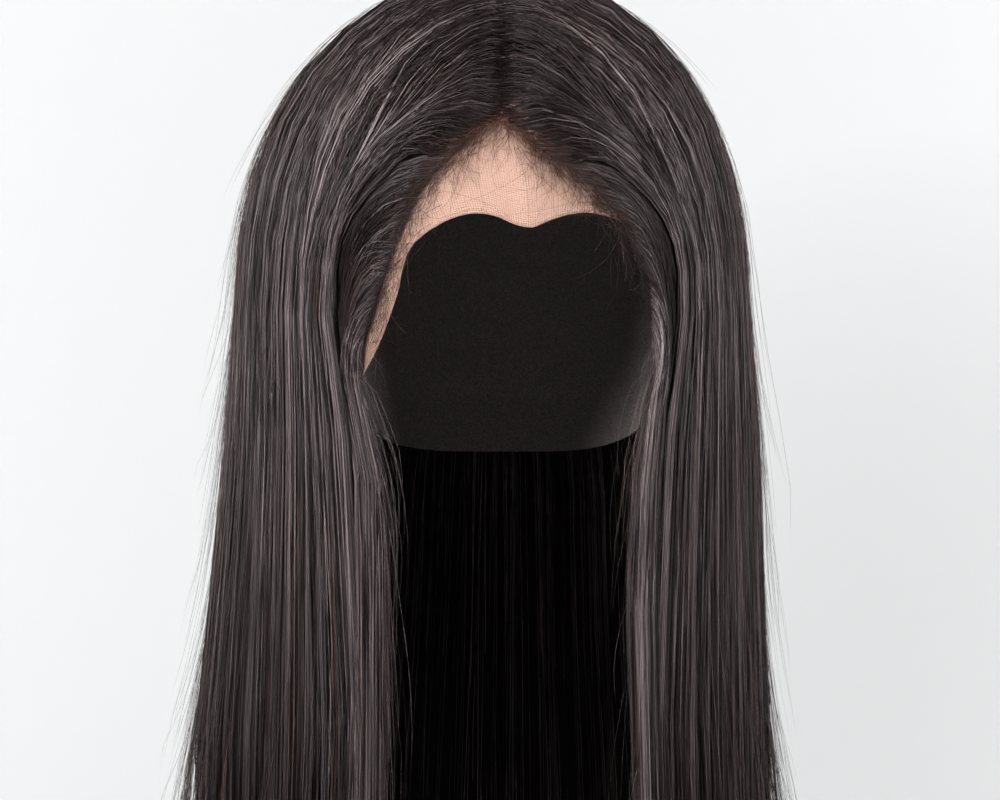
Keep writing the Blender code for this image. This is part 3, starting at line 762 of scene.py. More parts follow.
def shell(name, outer, inner, flow, material, flip):
    """Closed wall between two matching grids: each row runs along the outer face and back along
    the inner one, and ladders of faces shut both ends.
    """
    rows, columns = outer.shape[:2]
    ring = 2 * columns
    points = np.concatenate([outer, inner[:, ::-1]], axis=1).reshape(-1, 3)
    step = np.arange(ring)
    after = (step + 1) % ring
    base = (np.arange(rows - 1) * ring)[:, None]
    walls = np.stack([base + step, base + after, base + ring + after, base + ring + step], axis=-1)
    rung = np.arange(columns - 1)
    facing = ring - 1 - rung
    last = (rows - 1) * ring
    head = np.stack([rung, facing, facing - 1, rung + 1], axis=-1)
    foot = np.stack([last + rung, last + rung + 1, last + facing - 1, last + facing], axis=-1)
    faces = np.concatenate([walls.reshape(-1, 4), head, foot])
    wall_u = np.stack([step, step + 1, step + 1, step], axis=-1) / ring
    wall_v = np.arange(rows - 1)[:, None, None] + np.array([0, 0, 1, 1])[None, None, :]
    wall_u = np.broadcast_to(wall_u, (rows - 1, ring, 4)).reshape(-1, 4)
    wall_v = np.broadcast_to(wall_v, (rows - 1, ring, 4)).reshape(-1, 4) / (rows - 1) * WALL_STRIP
    head_u = np.stack([rung, rung, rung + 1, rung + 1], axis=-1) / (columns - 1)
    head_v = np.tile(np.array(HEAD_STRIP), (columns - 1, 1))
    foot_u = np.stack([rung, rung + 1, rung + 1, rung], axis=-1) / (columns - 1)
    foot_v = np.tile(np.array(FOOT_STRIP), (columns - 1, 1))
    place = np.stack([np.concatenate([wall_u, head_u, foot_u]),
                      np.concatenate([wall_v, head_v, foot_v])], axis=-1)
    if flip:
        faces = faces[:, ::-1]
        place = place[:, ::-1]
    item = new_object(name, points, faces.ravel(), np.arange(len(faces)) * 4, material)
    both = np.concatenate([flow, flow[:, ::-1]], axis=1).reshape(-1, 2)
    add_values(item, "across", both[:, 0])
    add_values(item, "along", both[:, 1])
    add_bake_map(item, place)
    return item


# Shader maths


class Value:
    """A shader socket in maths: an expression on values adds its Math nodes."""

    def __init__(self, nodes, socket):
        self.nodes = nodes
        self.socket = socket

    def join(self, operation, first, second):
        """One Math node."""
        return self.nodes.add("ShaderNodeMath", {"operation": operation}, {0: first, 1: second})[0]

    def __add__(self, other):
        return self.join("ADD", self, other)

    def __radd__(self, other):
        return self.join("ADD", other, self)

    def __sub__(self, other):
        return self.join("SUBTRACT", self, other)

    def __rsub__(self, other):
        return self.join("SUBTRACT", other, self)

    def __mul__(self, other):
        return self.join("MULTIPLY", self, other)

    def __pow__(self, other):
        return self.join("POWER", self, other)

    def sine(self):
        """Sine of the value."""
        return self.join("SINE", self, 0.0)

    def clamped(self):
        """The value kept between 0 and 1."""
        return self.nodes.add("ShaderNodeClamp", {}, {"Value": self})[0]

    def above(self, other):
        """1 where the value is larger."""
        return self.join("GREATER_THAN", self, other)


class Nodes:
    """The node tree of one material with a Principled shader."""

    def __init__(self, name, roughness, specular):
        self.material = bpy.data.materials.new(name)
        self.material.use_nodes = True
        self.tree = self.material.node_tree
        self.shader = self.tree.nodes["Principled BSDF"]
        self.shader.inputs["Roughness"].default_value = roughness
        self.shader.inputs["Specular IOR Level"].default_value = specular

    def add(self, kind, settings, inputs):
        """A node of a type with its settings and inputs. Returns its outputs as values."""
        node = self.tree.nodes.new(kind)
        for key, value in settings.items():
            if key == "stops":
                for stop, (place, colour) in zip(node.color_ramp.elements, value):
                    stop.position = place
                    stop.color = colour
            else:
                setattr(node, key, value)
        for key, value in inputs.items():
            self.feed(node.inputs[key], value)
        return [Value(self, socket) for socket in node.outputs]

    def feed(self, socket, value):
        """Link or set one input."""
        if isinstance(value, Value):
            self.tree.links.new(value.socket, socket)
        else:
            socket.default_value = value

    def attribute(self, name):
        """Number of the piece's own at each point."""
        return self.add("ShaderNodeAttribute", {"attribute_name": name}, {})[2]

    def place(self):
        """Object coordinates."""
        return self.add("ShaderNodeTexCoord", {}, {})[3]

    def vector(self, x, y, z):
        """Vector from three numbers or values."""
        return self.add("ShaderNodeCombineXYZ", {}, {0: x, 1: y, 2: z})[0]

    def noise(self, vector, scale, detail):
        """Noise between 0 and 1."""
        inputs = {"Vector": vector, "Scale": scale, "Detail": detail}
        return self.add("ShaderNodeTexNoise", {}, inputs)[0]

    def blend(self, share, first, second):
        """Mix of two colours."""
        node = self.tree.nodes.new("ShaderNodeMix")
        node.data_type = "RGBA"
        colours = [socket for socket in node.inputs if socket.type == "RGBA"]
        self.feed(node.inputs["Factor"], share)
        self.feed(colours[0], first)
        self.feed(colours[1], second)
        return Value(self, next(socket for socket in node.outputs if socket.type == "RGBA"))

    def bump(self, height, strength, distance):
        """Bump into the shader's normal."""
        inputs = {"Height": height, "Strength": strength, "Distance": distance}
        self.set("Normal", self.add("ShaderNodeBump", {}, inputs)[0])

    def set(self, name, value):
        """Feed one of the shader's sockets."""
        self.feed(self.shader.inputs[name], value)


def rgba(colour, strength=1.0):
    """Colour times a strength, with full alpha."""
    return tuple(strength * part for part in colour) + (1.0,)


def strand_material(name, looks, roughen):
    """Hair strands: each has its own tone and a few are warm brown. Noise along them is partly their own
    tone and partly painted highlight, in short glints and in bands over each lock, and the attribute lit
    paints in the light and shade each strand gets.
    """
    nodes = Nodes(name, looks.roughness, looks.shine)
    tone = nodes.attribute("tone")
    along = nodes.attribute("along")
    warm = nodes.attribute("warm")
    pattern = STRAND_GRAIN_AND_GLINTS
    # Own tone, with painted highlight glints in short dashes along each strand
    fine = nodes.noise(nodes.vector(tone * pattern["tones"], along * pattern["fine"], 0.0), 1.0, 2.0)
    # Painted highlight bands that drift along each lock
    lock = nodes.attribute("lock") * pattern["locks"]
    broad = nodes.noise(nodes.vector(lock, along * pattern["broad"], pattern["apart"]), 1.0, 1.0)
    share = (tone + fine * pattern["weight"] + broad - pattern["less"]).clamped() ** pattern["power"]
    # lit paints the light and shade each strand gets into its colour
    body = nodes.blend(share * nodes.attribute("lit"), rgba(looks.dark), rgba(looks.light))
    nodes.set("Base Color", nodes.blend(warm, body, rgba(looks.warm)))
    nodes.set("Roughness", looks.roughness - 0.5 * pattern["rough"] + fine * pattern["rough"] + roughen)
    return nodes.material


def base_material(name, looks):
    """Depth of the hair between the strands: a wall in the hair's darkest tone that stands for the hair
    deep in the section in its shade, with fine streaks of painted shade, darker still, that run with the
    hair.
    """
    nodes = Nodes(name, 0.8, 0.1)
    across = nodes.attribute("across")
    along = nodes.attribute("along")
    pattern = BASE_SHADE_STREAKS
    fine = nodes.vector(across * pattern["fine_across"], along * pattern["fine_along"], 0.0)
    wide = nodes.vector(across * pattern["broad_across"], along * pattern["broad_along"], pattern["apart"])
    streak = nodes.noise(fine, 1.0, 4.0)
    broad = nodes.noise(wide, 1.0, 2.0)
    share = (streak * pattern["fine"] + broad * pattern["broad"] - pattern["less"]).clamped()
    # Painted shade: streaks between the darkest tone and a darker shaded copy of it
    nodes.set("Base Color", nodes.blend(share, rgba(looks.dark, SHADED), rgba(looks.dark)))
    nodes.bump(streak + broad, **BASE_BUMP)
    return nodes.material


def thread_material(name, colour):
    """Net threads: tan, with a slight drift of tone over the panel."""
    nodes = Nodes(name, 0.75, 0.2)
    cloud = nodes.noise(nodes.place(), THREAD_CLOUD, 2.0)
    nodes.set("Base Color", nodes.blend(cloud, rgba(colour), rgba(colour, PALER)))
    nodes.set("Roughness", cloud * 0.2 + 0.62)
    return nodes.material


def ground_material(name, looks, knot):
    """Sheer ground of the lace: clear tan where it is bare, and past the hairline a net that is dark
    with the knots of the hair tied to it.
    """
    nodes = Nodes(name, 0.8, 0.2)
    across = nodes.attribute("across")
    along = nodes.attribute("along")
    hidden = nodes.attribute("hidden")
    net = (across * NET_TURN).sine() * (along * NET_TURN).sine()
    ground = nodes.blend(net.above(NET_OPEN), rgba(knot), rgba(knot, SHADED))
    film = nodes.blend(nodes.attribute("shaded"), rgba(looks.film), rgba(looks.film, LACE_SHADE))
    nodes.set("Base Color", nodes.blend(hidden, film, ground))
    nodes.set("Alpha", (hidden + looks.sheer).clamped())
    nodes.bump(net, **NET_BUMP)
    return nodes.material


def cap_material(name, colour):
    """Stretch cap: plain fine dark net."""
    nodes = Nodes(name, 0.78, 0.3)
    cells = nodes.add("ShaderNodeTexVoronoi", {"feature": "DISTANCE_TO_EDGE"},
                      {"Vector": nodes.place(), "Scale": CAP_CELLS})[0]
    open_net = (cells * CAP_SHARP).clamped()
    nodes.set("Base Color", nodes.blend(open_net, rgba(colour, CAP_THREAD), rgba(colour, SHADED)))
    nodes.bump(1.0 - open_net, **CAP_BUMP)
    return nodes.material


def stage_material(name, colour):
    """Plain pale backdrop, with a painted shadow that makes it a little greyer low on the right."""
    nodes = Nodes(name, 0.9, 0.1)
    split = nodes.add("ShaderNodeSeparateXYZ", {}, {0: nodes.place()})
    # Painted shadow: the paper is darker the nearer it lies to the shadow's middle
    across = split[0] - SHADOW_X
    up = split[2] - SHADOW_Z
    share = (1.0 - (across * across + up * up) * SHADOW_FALL).clamped()
    nodes.set("Base Color", nodes.blend(share, rgba(colour), rgba(colour, SHADOW_TONE)))
    return nodes.material


# Settings


def count_property(name, description, value):
    """Count of strands."""
    return IntProperty(name=name, description=description, default=value, min=10)


def length_property(name, description, value):
    """Length in metres."""
    return FloatProperty(name=name, description=description, default=value, unit="LENGTH")


def share_property(name, description, value):
    """Share between 0 and 1."""
    return FloatProperty(name=name, description=description, default=value, min=0.0, max=1.0)


def light_property(name, description, value):
    """Strength of a light."""
    return FloatProperty(name=name, description=description, default=value, min=0.0)


def colour_property(name, description, value):
    """Colour of a finish."""
    return FloatVectorProperty(name=name, description=description, subtype="COLOR", size=3, default=value)


class HairSettings(PropertyGroup):
    """Sizes and colours of the hair."""

    outer_count: count_property("Front strands", "Strands of one front section", 1650)
    temple_count: count_property("Temple strands", "Strands of one temple section", 850)
    loose_count: count_property("Loose hairs", "Single hairs that stand off", 1400)
    fringe_count: count_property("Hairline hairs", "Short hairs along the hairline", 1300)
    diameter: length_property("Strand", "Diameter of a strand", 0.00033)
    fine: length_property("Loose hair", "Diameter of a loose hair", 0.00012)
    dark: colour_property("Dark", "Darkest tone", (0.0068, 0.0036, 0.0034))
    light: colour_property("Light", "Lightest tone", (0.182, 0.146, 0.148))
    warm: colour_property("Warm", "Warm brown strands", (0.11, 0.042, 0.02))
    roughness: share_property("Roughness", "Roughness of a strand", 0.38)
    shine: share_property("Shine", "Specular level of a strand", 0.13)


class LaceSettings(PropertyGroup):
    """Sizes and colours of the lace and the cap."""

    pitch: length_property("Pitch", "Distance between threads", 0.00088)
    warp: length_property("Upright thread", "Diameter of the upright threads", 0.00030)
    weft: length_property("Cross thread", "Diameter of the cross threads", 0.00018)
    sheer: share_property("Film", "Cover of the bare net between its threads", 0.72)
    lace: colour_property("Lace", "Colour of the net", (0.25, 0.145, 0.105))
    film: colour_property("Ground", "Colour between the threads", (0.50, 0.335, 0.27))
    cap: colour_property("Cap", "Colour of the cap", (0.14, 0.12, 0.115))


class StageSettings(PropertyGroup):
    """Backdrop, lamps and camera."""

    paper: colour_property("Backdrop", "Colour of floor and wall", (0.93, 0.935, 0.94))
    floor: length_property("Floor", "Height of the floor", -0.62)
    world: light_property("Surrounding light", "Strength of the even light", 0.24)
    key: light_property("Key", "Power of the front lamps in watts", 1.95)
    top: light_property("Top", "Power of the top lamp in watts", 1.2)
    fill: light_property("Fill", "Power of the lamp under the camera in watts", 0.8)
    wall: light_property("Wall", "Power of the backdrop lamps in watts", 25.0)


# Hair


def seeded(name, side, step=0):
    """Random numbers of its own for a piece on a side."""
    return np.random.default_rng(SEEDS[name] + step + (0 if side == LEFT else SEEDS["right"]))


def ramp(name, value):
    """Ease from 0 to 1 over a named row of RAMPS."""
    start, length = RAMPS[name]
    return smooth_step((value - start) / length)


def waves(rng, count, size, turns, v):
    """Slow wave along v for each strand, with its own height, number of turns and start."""
    height = rng.normal(*SPREADS[size], count)[:, None]
    phase = rng.uniform(*RANGES[turns], count)[:, None] * v + rng.random(count)[:, None]
    return height * np.sin(2.0 * math.pi * phase)


def strand_tones(rng, member, clumps):
    """Tone of each strand, near its clump's, and which strands are warm."""
    count = len(member)
    tone = rng.beta(*BETAS["clump_tone"], clumps)[member] * CLUMP_TONE
    tone = tone + rng.beta(*BETAS["own_tone"], count) * OWN_TONE
    warm = np.where(rng.random(count) < CHANCES["warm"], rng.uniform(*RANGES["warm"], count), 0.0)
    return {"tone": np.clip(tone, 0.0, 1.0), "warm": warm, "lock": member / clumps}


def clumped(rng, count, per_clump, low, high, spread, v):
    """Places of strands that gather in clumps: u is the clump's middle plus the strand's share of
    its width, which narrows toward the ends, plus slow waves of clump and strand along v.
    """
    clumps = max(count // per_clump, 2)
    middle = rng.uniform(low, high, clumps)
    member = rng.integers(0, clumps, count)
    aside = rng.normal(0.0, 1.0, count)
    v = v[None, :]
    gather = CLUMP_WIDTH - CLUMP_NARROWING * v
    sway = rng.normal(*SPREADS["sway"], clumps)[member][:, None]
    sway = sway * np.sin(math.pi * (rng.uniform(*RANGES["sway_turns"], clumps)[member][:, None] * v
                                    + rng.uniform(*RANGES["sway_start"], clumps)[member][:, None]))
    stray = waves(rng, count, "stray", "stray_turns", v)
    drift = rng.normal(*SPREADS["drift"], count)[:, None] * v * v
    u = middle[member][:, None] + spread * aside[:, None] * gather
    u = u + (sway + stray) * ramp("sway", v) + drift
    return u, member, aside, clumps


def strand_radius(rng, count, stations, diameter):
    """Radius along each strand in millimetres: full in the fall, finer at root and end."""
    v = stations[None, :]
    full = 0.5 * diameter / MILLIMETRE * rng.uniform(*RANGES["width"], count)[:, None]
    root = ROOT_WIDTH + (1.0 - ROOT_WIDTH) * ramp("full_width", v)
    return full * root * (1.0 - END_THINNING * ramp("thin_end", v))


def strand_ends(rng, u, notch):
    """Height of each strand's end: near the mean, shorter between locks, some cut well short."""
    count = len(u)
    short = np.where(rng.random(count) < CHANCES["cut_short"], rng.gamma(*GAMMAS["cut_short"], count),
                     rng.gamma(*GAMMAS["uneven_end"], count))
    return tip_height(u) - END_REACH + notch + np.minimum(short, LONGEST_CUT)


def base_wall(name, side, place, faces, deep, reach, materials):
    """Dark wall between two shares of the hair's thickness, drawn together toward its end."""
    taper = 1.0 - BASE_TAPER * ramp("base_end", place[1])
    low_face = mix(*faces, BASE_MIDDLE + (deep - BASE_MIDDLE) * taper)
    high_face = mix(*faces, BASE_MIDDLE + reach * taper)
    flow = np.stack([FLOW_ACROSS * place[0], FLOW_ALONG * place[1]], axis=-1)
    return shell(name + "_base", low_face, high_face, flow, materials["base"], side == RIGHT)


def section_base(name, side, section, materials):
    """Dark wall deep in an outer section. It starts late above the hairline, and its end is wavy."""
    first = section["from"] + (BASE_EDGE_U if section["name"] == "front" else 0.0)
    u, v = np.meshgrid(np.linspace(first, section["to"], BASE_COLUMNS),
                       np.linspace(0.0, 1.0, BASE_ROWS) ** BASE_CROWDING)
    behind = ramp("behind_peak", u)
    late = BASE_PART_V * (1.0 - behind) + BASE_LATE_V * (1.0 - ramp("past_peak", u))
    v = late + (1.0 - late) * v
    jag = BASE_JAG["height"] * np.sin(BASE_JAG["first"] * u) * np.sin(BASE_JAG["second"] * u + 1.0)
    outer, inner = outer_faces(side, u, v, tip_height(u) + BASE_END + jag)
    relief = LOCK_RELIEF * lock_relief(section, u) * ramp("relief", v)
    thickness = np.linalg.norm(inner - outer, axis=-1)
    deep = np.minimum(BASE_DEPTH + relief, 0.5 * thickness) / thickness
    root = BASE_ROOT_DEPTH - BASE_ROOT_RISE * behind
    deep = root + (deep - root) * smooth_step((v - late) / BASE_RISE_V)
    return base_wall(name, side, (u, v), (outer, inner), deep, BASE_REACH, materials)


def lit_share(v, depth, uneven):
    """How much light a strand gets at its stations: little at its root, less toward its end, and
    less the deeper it lies.
    """
    rooted = ROOT_LIGHT + (1.0 - ROOT_LIGHT) * ramp("root_light", v)
    rooted = rooted * (TOP_LIGHT - FALL_SHADE * ramp("fall_shade", v))
    buried = 1.0 - BURIED_SHADE * ramp("buried", depth)
    return at_stations((rooted * uneven * buried[:, None])[..., None], OUTER_STATIONS)[..., 0]


def section_places(rng, section, u, member, clumps, inside, edge):
    """Places u and v along each strand: rooted farther back than it hangs, with the strands of the
    front section closing over the face edge and some of them crossing the temple.
    """
    count = len(member)
    low = section["from"]
    u = np.where(edge[:, None], low + (u - low) * EDGE_WIDTH, u)
    u = np.clip(u, low - SECTION_SPILL, section["to"] + SECTION_SPILL)
    first_v = np.where(inside, INSIDE_FROM_V, 0.0)[:, None]
    v = first_v + (1.0 - first_v) * FINE_STEPS[None, :]
    rooted = rng.uniform(*RANGES["rooted"], clumps)[member] + rng.normal(*SPREADS["rooted"], count)
    rooted = np.where(edge, rng.uniform(*RANGES["edge_rooted"], count), rooted)[:, None]
    rooted = rooted * (ROOT_BACK * smooth_step((1.0 - u) / ROOT_BACK_FADE))
    u = np.clip(u + rooted * np.clip(1.0 - v / ROOT_BACK_V, 0.0, 1.0) ** 2, low - ROOT_SPILL, 1.0)
    if section["name"] == "front":
        u = u - CLOSE_U * ramp("closing", v) * (1.0 - ramp("near_edge", u - low))
        crossing = np.where(rng.random(clumps) < CHANCES["crossing"],
                            rng.uniform(*RANGES["crossing"], clumps), 0.0)[member]
        crossing = crossing[:, None] * (1.0 - ramp("crossing", u - low))
        u = u - CROSS_U * crossing * np.sin(math.pi * np.clip(v / CROSS_END_V, 0.0, 1.0)) ** 2
    return u, v


def build_section(hair, side, section, materials):
    """One outer section: a dark base wall deep in it, strands over both faces and the open edge."""
    rng = seeded("section", side, SEEDS["section_step"] * SECTIONS.index(section))
    name = "hair_" + section["name"] + "_" + SIDE_NAMES[side]
    base = section_base(name, side, section, materials)
    count = int(hair.outer_count * section["share"])
    u, member, aside, clumps = clumped(rng, count, CLUMP_SIZE, section["from"], section["to"],
                                       CLUMP_SPREAD_U, FINE_STEPS)
    kind = rng.random(count)
    edge = kind < section["edge"]
    inside = kind > section["outside"]
    u, v = section_places(rng, section, u, member, clumps, inside, edge)
    ends = strand_ends(rng, u[:, -1], TIP_NOTCH * lock_relief(section, u[:, -1]))
    outer, inner = outer_faces(side, u, v, np.broadcast_to(ends[:, None], u.shape))
    thickness = np.maximum(np.linalg.norm(inner - outer, axis=-1), THINNEST)
    depth = (CLUMP_DEPTH * rng.random(clumps)[member] ** CLUMP_DEPTH_POWER
             + ASIDE_DEPTH * np.abs(aside) ** ASIDE_DEPTH_POWER - DEPTH_LIFT)
    depth = np.where(edge, rng.uniform(*RANGES["edge_depth"], count), depth)
    relief = LOCK_RELIEF * lock_relief(section, u) * ramp("relief", v)
    ripple = waves(rng, count, "ripple", "ripple_turns", v)
    share = np.minimum((depth[:, None] + relief + ripple) / thickness, DEEPEST_SHARE)
    share = np.where(inside[:, None], rng.uniform(*RANGES["inside"], count)[:, None], share)
    paths = mix(outer, inner, share)
    scatter = rng.normal(*SPREADS["root_scatter"], count)[:, None]
    paths[..., 0] -= side * (scatter * (1.0 - ramp("root_scatter", v)))
    on_lace = (1.0 - ramp("off_lace", v)) * (1.0 - ramp("past_hairline", u))
    paths = mix(paths, on_head(paths, LACE_WALL + ROOT_LIFT), on_lace)
    paths = at_stations(eased(paths), OUTER_STATIONS)
    radius = strand_radius(rng, count, OUTER_STATIONS, hair.diameter)
    values = strand_tones(rng, member, clumps)
    # Painted light and shade that differ from clump to clump near the part
    swing = 1.0 - ramp("part_contrast", v)
    uneven = 1.0 + rng.uniform(*RANGES["uneven"], clumps)[member][:, None] * swing
    values["lit"] = lit_share(v, np.where(inside, 0.0, depth), uneven)
    radius = radius * (DARK_WIDTH + LIGHT_WIDTH * values["tone"][:, None])
    item = strands(name + "_strands", paths, radius, rng.uniform(*RANGES["roll"], count), values,
                   materials["strand"])
    for piece in (base, item):
        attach(piece, "root")
        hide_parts(name)


def temple_base(name, side, materials):
    """Dark wall deep in a temple section."""
    late = TEMPLE_BASE["from_v"]
    u, v = np.meshgrid(np.linspace(TEMPLE_BASE["from_u"], TEMPLE_ACROSS[-1]["u"], TEMPLE_BASE["columns"]),
                       late + (1.0 - late) * np.linspace(0.0, 1.0, BASE_ROWS) ** TEMPLE_BASE["crowding"])
    outer, inner = temple_faces(side, u, v, tip_height(u) + TEMPLE_BASE["end"])
    thickness = np.linalg.norm(inner - outer, axis=-1)
    deep = np.minimum(TEMPLE_BASE["depth"], TEMPLE_BASE["depth_share"] * thickness) / thickness
    root = TEMPLE_BASE["root_depth"]
    deep = root + (deep - root) * ramp("temple_base", v)
    return base_wall(name, side, (u, v), (outer, inner), deep, TEMPLE_BASE["reach"], materials)


def build_temple(hair, side, materials):
    """The section tied along the hairline: base wall, and strands that run down across it from
    higher roots toward the face edge, in shadow where the gap to the front section is.
    """
    rng = seeded("temple", side)
    name = "hair_temple_" + SIDE_NAMES[side]
    last_u = TEMPLE_ACROSS[-1]["u"]
    base = temple_base(name, side, materials)
    count = hair.temple_count
    u, member, aside, clumps = clumped(rng, count, TEMPLE_CLUMP_SIZE, 0.0, last_u, TEMPLE_SPREAD_U,
                                       FINE_STEPS)
    gather = (rng.uniform(*RANGES["temple_gather"], clumps)[member][:, None]
              + rng.normal(*SPREADS["temple_gather"], count)[:, None])
    edge = rng.random(count) < CHANCES["temple_edge"]
    gather = np.where(edge[:, None], 1.0, gather)
    v = np.broadcast_to(FINE_STEPS[None, :], u.shape)
    stays = rng.random(clumps)[member] < CHANCES["temple_stays"]
    gather = np.where(stays[:, None], STAYS_GATHER * gather, gather)
    u = u * (1.0 - gather * ramp("temple_gather", v))
    u = np.clip(np.abs(u), 0.0, last_u)
    ends = strand_ends(rng, u[:, -1], 0.0)
    outer, inner = temple_faces(side, u, v, np.broadcast_to(ends[:, None], u.shape))
    thickness = np.maximum(np.linalg.norm(inner - outer, axis=-1), THINNEST)
    depth = (TEMPLE_DEPTH * rng.random(clumps)[member] ** TEMPLE_DEPTH_POWER
             + TEMPLE_ASIDE_DEPTH * np.abs(aside) ** ASIDE_DEPTH_POWER - DEPTH_LIFT)
    deep = edge | (rng.random(count) < CHANCES["temple_deep"])
    deeper = np.where(deep, rng.uniform(*RANGES["temple_deep"], count), 0.0)[:, None]
    depth = depth[:, None] + deeper * ramp("temple_gather", v)
    ripple = waves(rng, count, "temple_ripple", "ripple_turns", v)
    paths = mix(outer, inner, np.clip((depth + ripple) / thickness, HIGHEST_SHARE, 1.0))
    paths = mix(paths, on_head(paths, LACE_WALL + TEMPLE_LACE_LIFT), 1.0 - ramp("temple_off_lace", v))
    paths = at_stations(eased(paths), TEMPLE_STATIONS)
    radius = strand_radius(rng, count, TEMPLE_STATIONS, TEMPLE_WIDTH * hair.diameter)
    values = strand_tones(rng, member, clumps)
    bright = rng.random(count) < CHANCES["temple_bright"]
    values["tone"] = np.where(bright, rng.uniform(*RANGES["temple_bright"], count),
                              TEMPLE_DIM * values["tone"])
    radius = radius * (DARK_WIDTH + TEMPLE_LIGHT_WIDTH * values["tone"][:, None])
    lit = ((ROOT_LIGHT + (1.0 - ROOT_LIGHT) * ramp("root_light", v))
           * (1.0 - TEMPLE_SHADE * ramp("temple_buried", depth)))
    # Painted light and shade that differ from clump to clump
    uneven = rng.uniform(*RANGES["temple_uneven"], clumps)[member][:, None]
    lit = lit * (TEMPLE_LIGHT + TEMPLE_UNEVEN * uneven)
    gap = ramp("gap_across", u) * ramp("gap_from", v) * (1.0 - ramp("gap_until", v))
    lit = lit * (1.0 - GAP_SHADE * gap)
    values["lit"] = at_stations(lit[..., None], TEMPLE_STATIONS)[..., 0]
    item = strands(name + "_strands", paths, radius, rng.uniform(*RANGES["roll"], count), values,
                   materials["strand"])
    for piece in (base, item):
        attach(piece, "root")
        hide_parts(name)


def standing_hairs(rng, side, count, share):
    """Single hairs that follow the outer face, drift aside and stand off it by a height that grows
    with a power of the way along. Most lie near the outline.
    """
    outline = rng.random(count) < CHANCES["outline"]
    place = np.where(outline, rng.normal(*SPREADS["loose_place"], count),
                     rng.uniform(*RANGES["loose_place"], count))[:, None]
    power = np.where(outline, OUTLINE_POWER, 1.0)[:, None]
    start = LOOSE_FROM_V + LOOSE_OVER_V * rng.random(count)[:, None] ** power
    length = rng.uniform(*RANGES["loose_length"], count)[:, None]
    v = np.minimum(start + length * share, 1.0)
    wave = rng.normal(*SPREADS["loose_wave"], count)[:, None] * np.sin(
        2.0 * math.pi * share * rng.uniform(*RANGES["loose_turns"], count)[:, None])
    u = place + rng.normal(*SPREADS["loose_drift"], count)[:, None] * share + wave
    u = np.clip(u, LOOSE_LEAST_U, LOOSE_MOST_U)
    ends = tip_height(u[:, :1]) + rng.uniform(*RANGES["loose_end"], count)[:, None]
    outer, inner = outer_faces(side, u, v, np.broadcast_to(ends, u.shape))
    stand = rng.gamma(*GAMMAS["stand"], count)[:, None]
    stand = stand * share ** STAND_POWER * (STAND_TOP + v) + STAND_LEAST
    away = outer - inner
    away /= np.maximum(np.linalg.norm(away, axis=-1, keepdims=True), 1e-6)
    return outer + away * np.minimum(stand, STAND_MOST)[..., None]


def edge_hairs(rng, side, count, share):
    """Single hairs that hang inside the face edge and swing toward the face."""
    v = (rng.uniform(*RANGES["edge_start"], count)[:, None]
         + rng.uniform(*RANGES["edge_length"], count)[:, None] * share)
    u = rng.uniform(*RANGES["edge_place"], count)[:, None] + 0.0 * share
    ends = np.broadcast_to(tip_height(u[:, :1]), u.shape)
    outer, inner = temple_faces(side, u, np.minimum(v, 1.0), ends)
    paths = mix(outer, inner, rng.random(count)[:, None])
    swing = np.minimum(rng.gamma(*GAMMAS["swing"], count), SWING_MOST)[:, None] * np.sin(
        math.pi * share * rng.uniform(*RANGES["edge_turns"], count)[:, None])
    paths[..., 0] -= side * swing
    paths[..., 1] -= 0.5 * swing
    return paths


def build_loose(hair, side, materials):
    """Single hairs that leave the surface, and others that hang inside the face edge."""
    rng = seeded("loose", side)
    count = hair.loose_count // 2
    share = np.linspace(0.0, 1.0, LOOSE_STATIONS)[None, :]
    paths = np.concatenate([standing_hairs(rng, side, count, share),
                            edge_hairs(rng, side, count // EDGE_HAIR_PART, share)])
    total = len(paths)
    width = rng.uniform(*RANGES["loose_width"], total)[:, None]
    radius = 0.5 * hair.fine / MILLIMETRE * width * (1.0 - 0.5 * share)
    tone = rng.uniform(*RANGES["loose_tone"], total)
    warm = np.where(rng.random(total) < CHANCES["loose_warm"], LOOSE_WARM, 0.0)
    item = strands("loose_hairs_" + SIDE_NAMES[side], paths, radius, rng.uniform(*RANGES["roll"], total),
                   {"tone": tone, "warm": warm, "lit": np.ones(total)}, materials["fine"])
    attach(item, "root")


def hairline_point(side, share, up):
    """Point on the hairline at a share of its length, up to PEAK's in the middle, moved a distance
    up the head from it.
    """
    rows = HAIRLINE[side] + (PEAK,)
    x = curve_at(rows, "share", "x", share)
    z = curve_at(rows, "share", "z", share)
    return side * (x + UP_ASIDE * up), z + UP_RISE * up


def short_hairs(name, points, lift, radius, values, rng, materials):
    """Fine hairs that lie a height above the lace: points are x and z along each."""
    paths = on_head(front_of_head(points[0], points[1], 0.0), lift)
    roll = rng.uniform(0.0, 2.0 * math.pi, len(paths))
    item = strands(name, paths, radius, roll, values, materials["fine"])
    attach(item, "root")


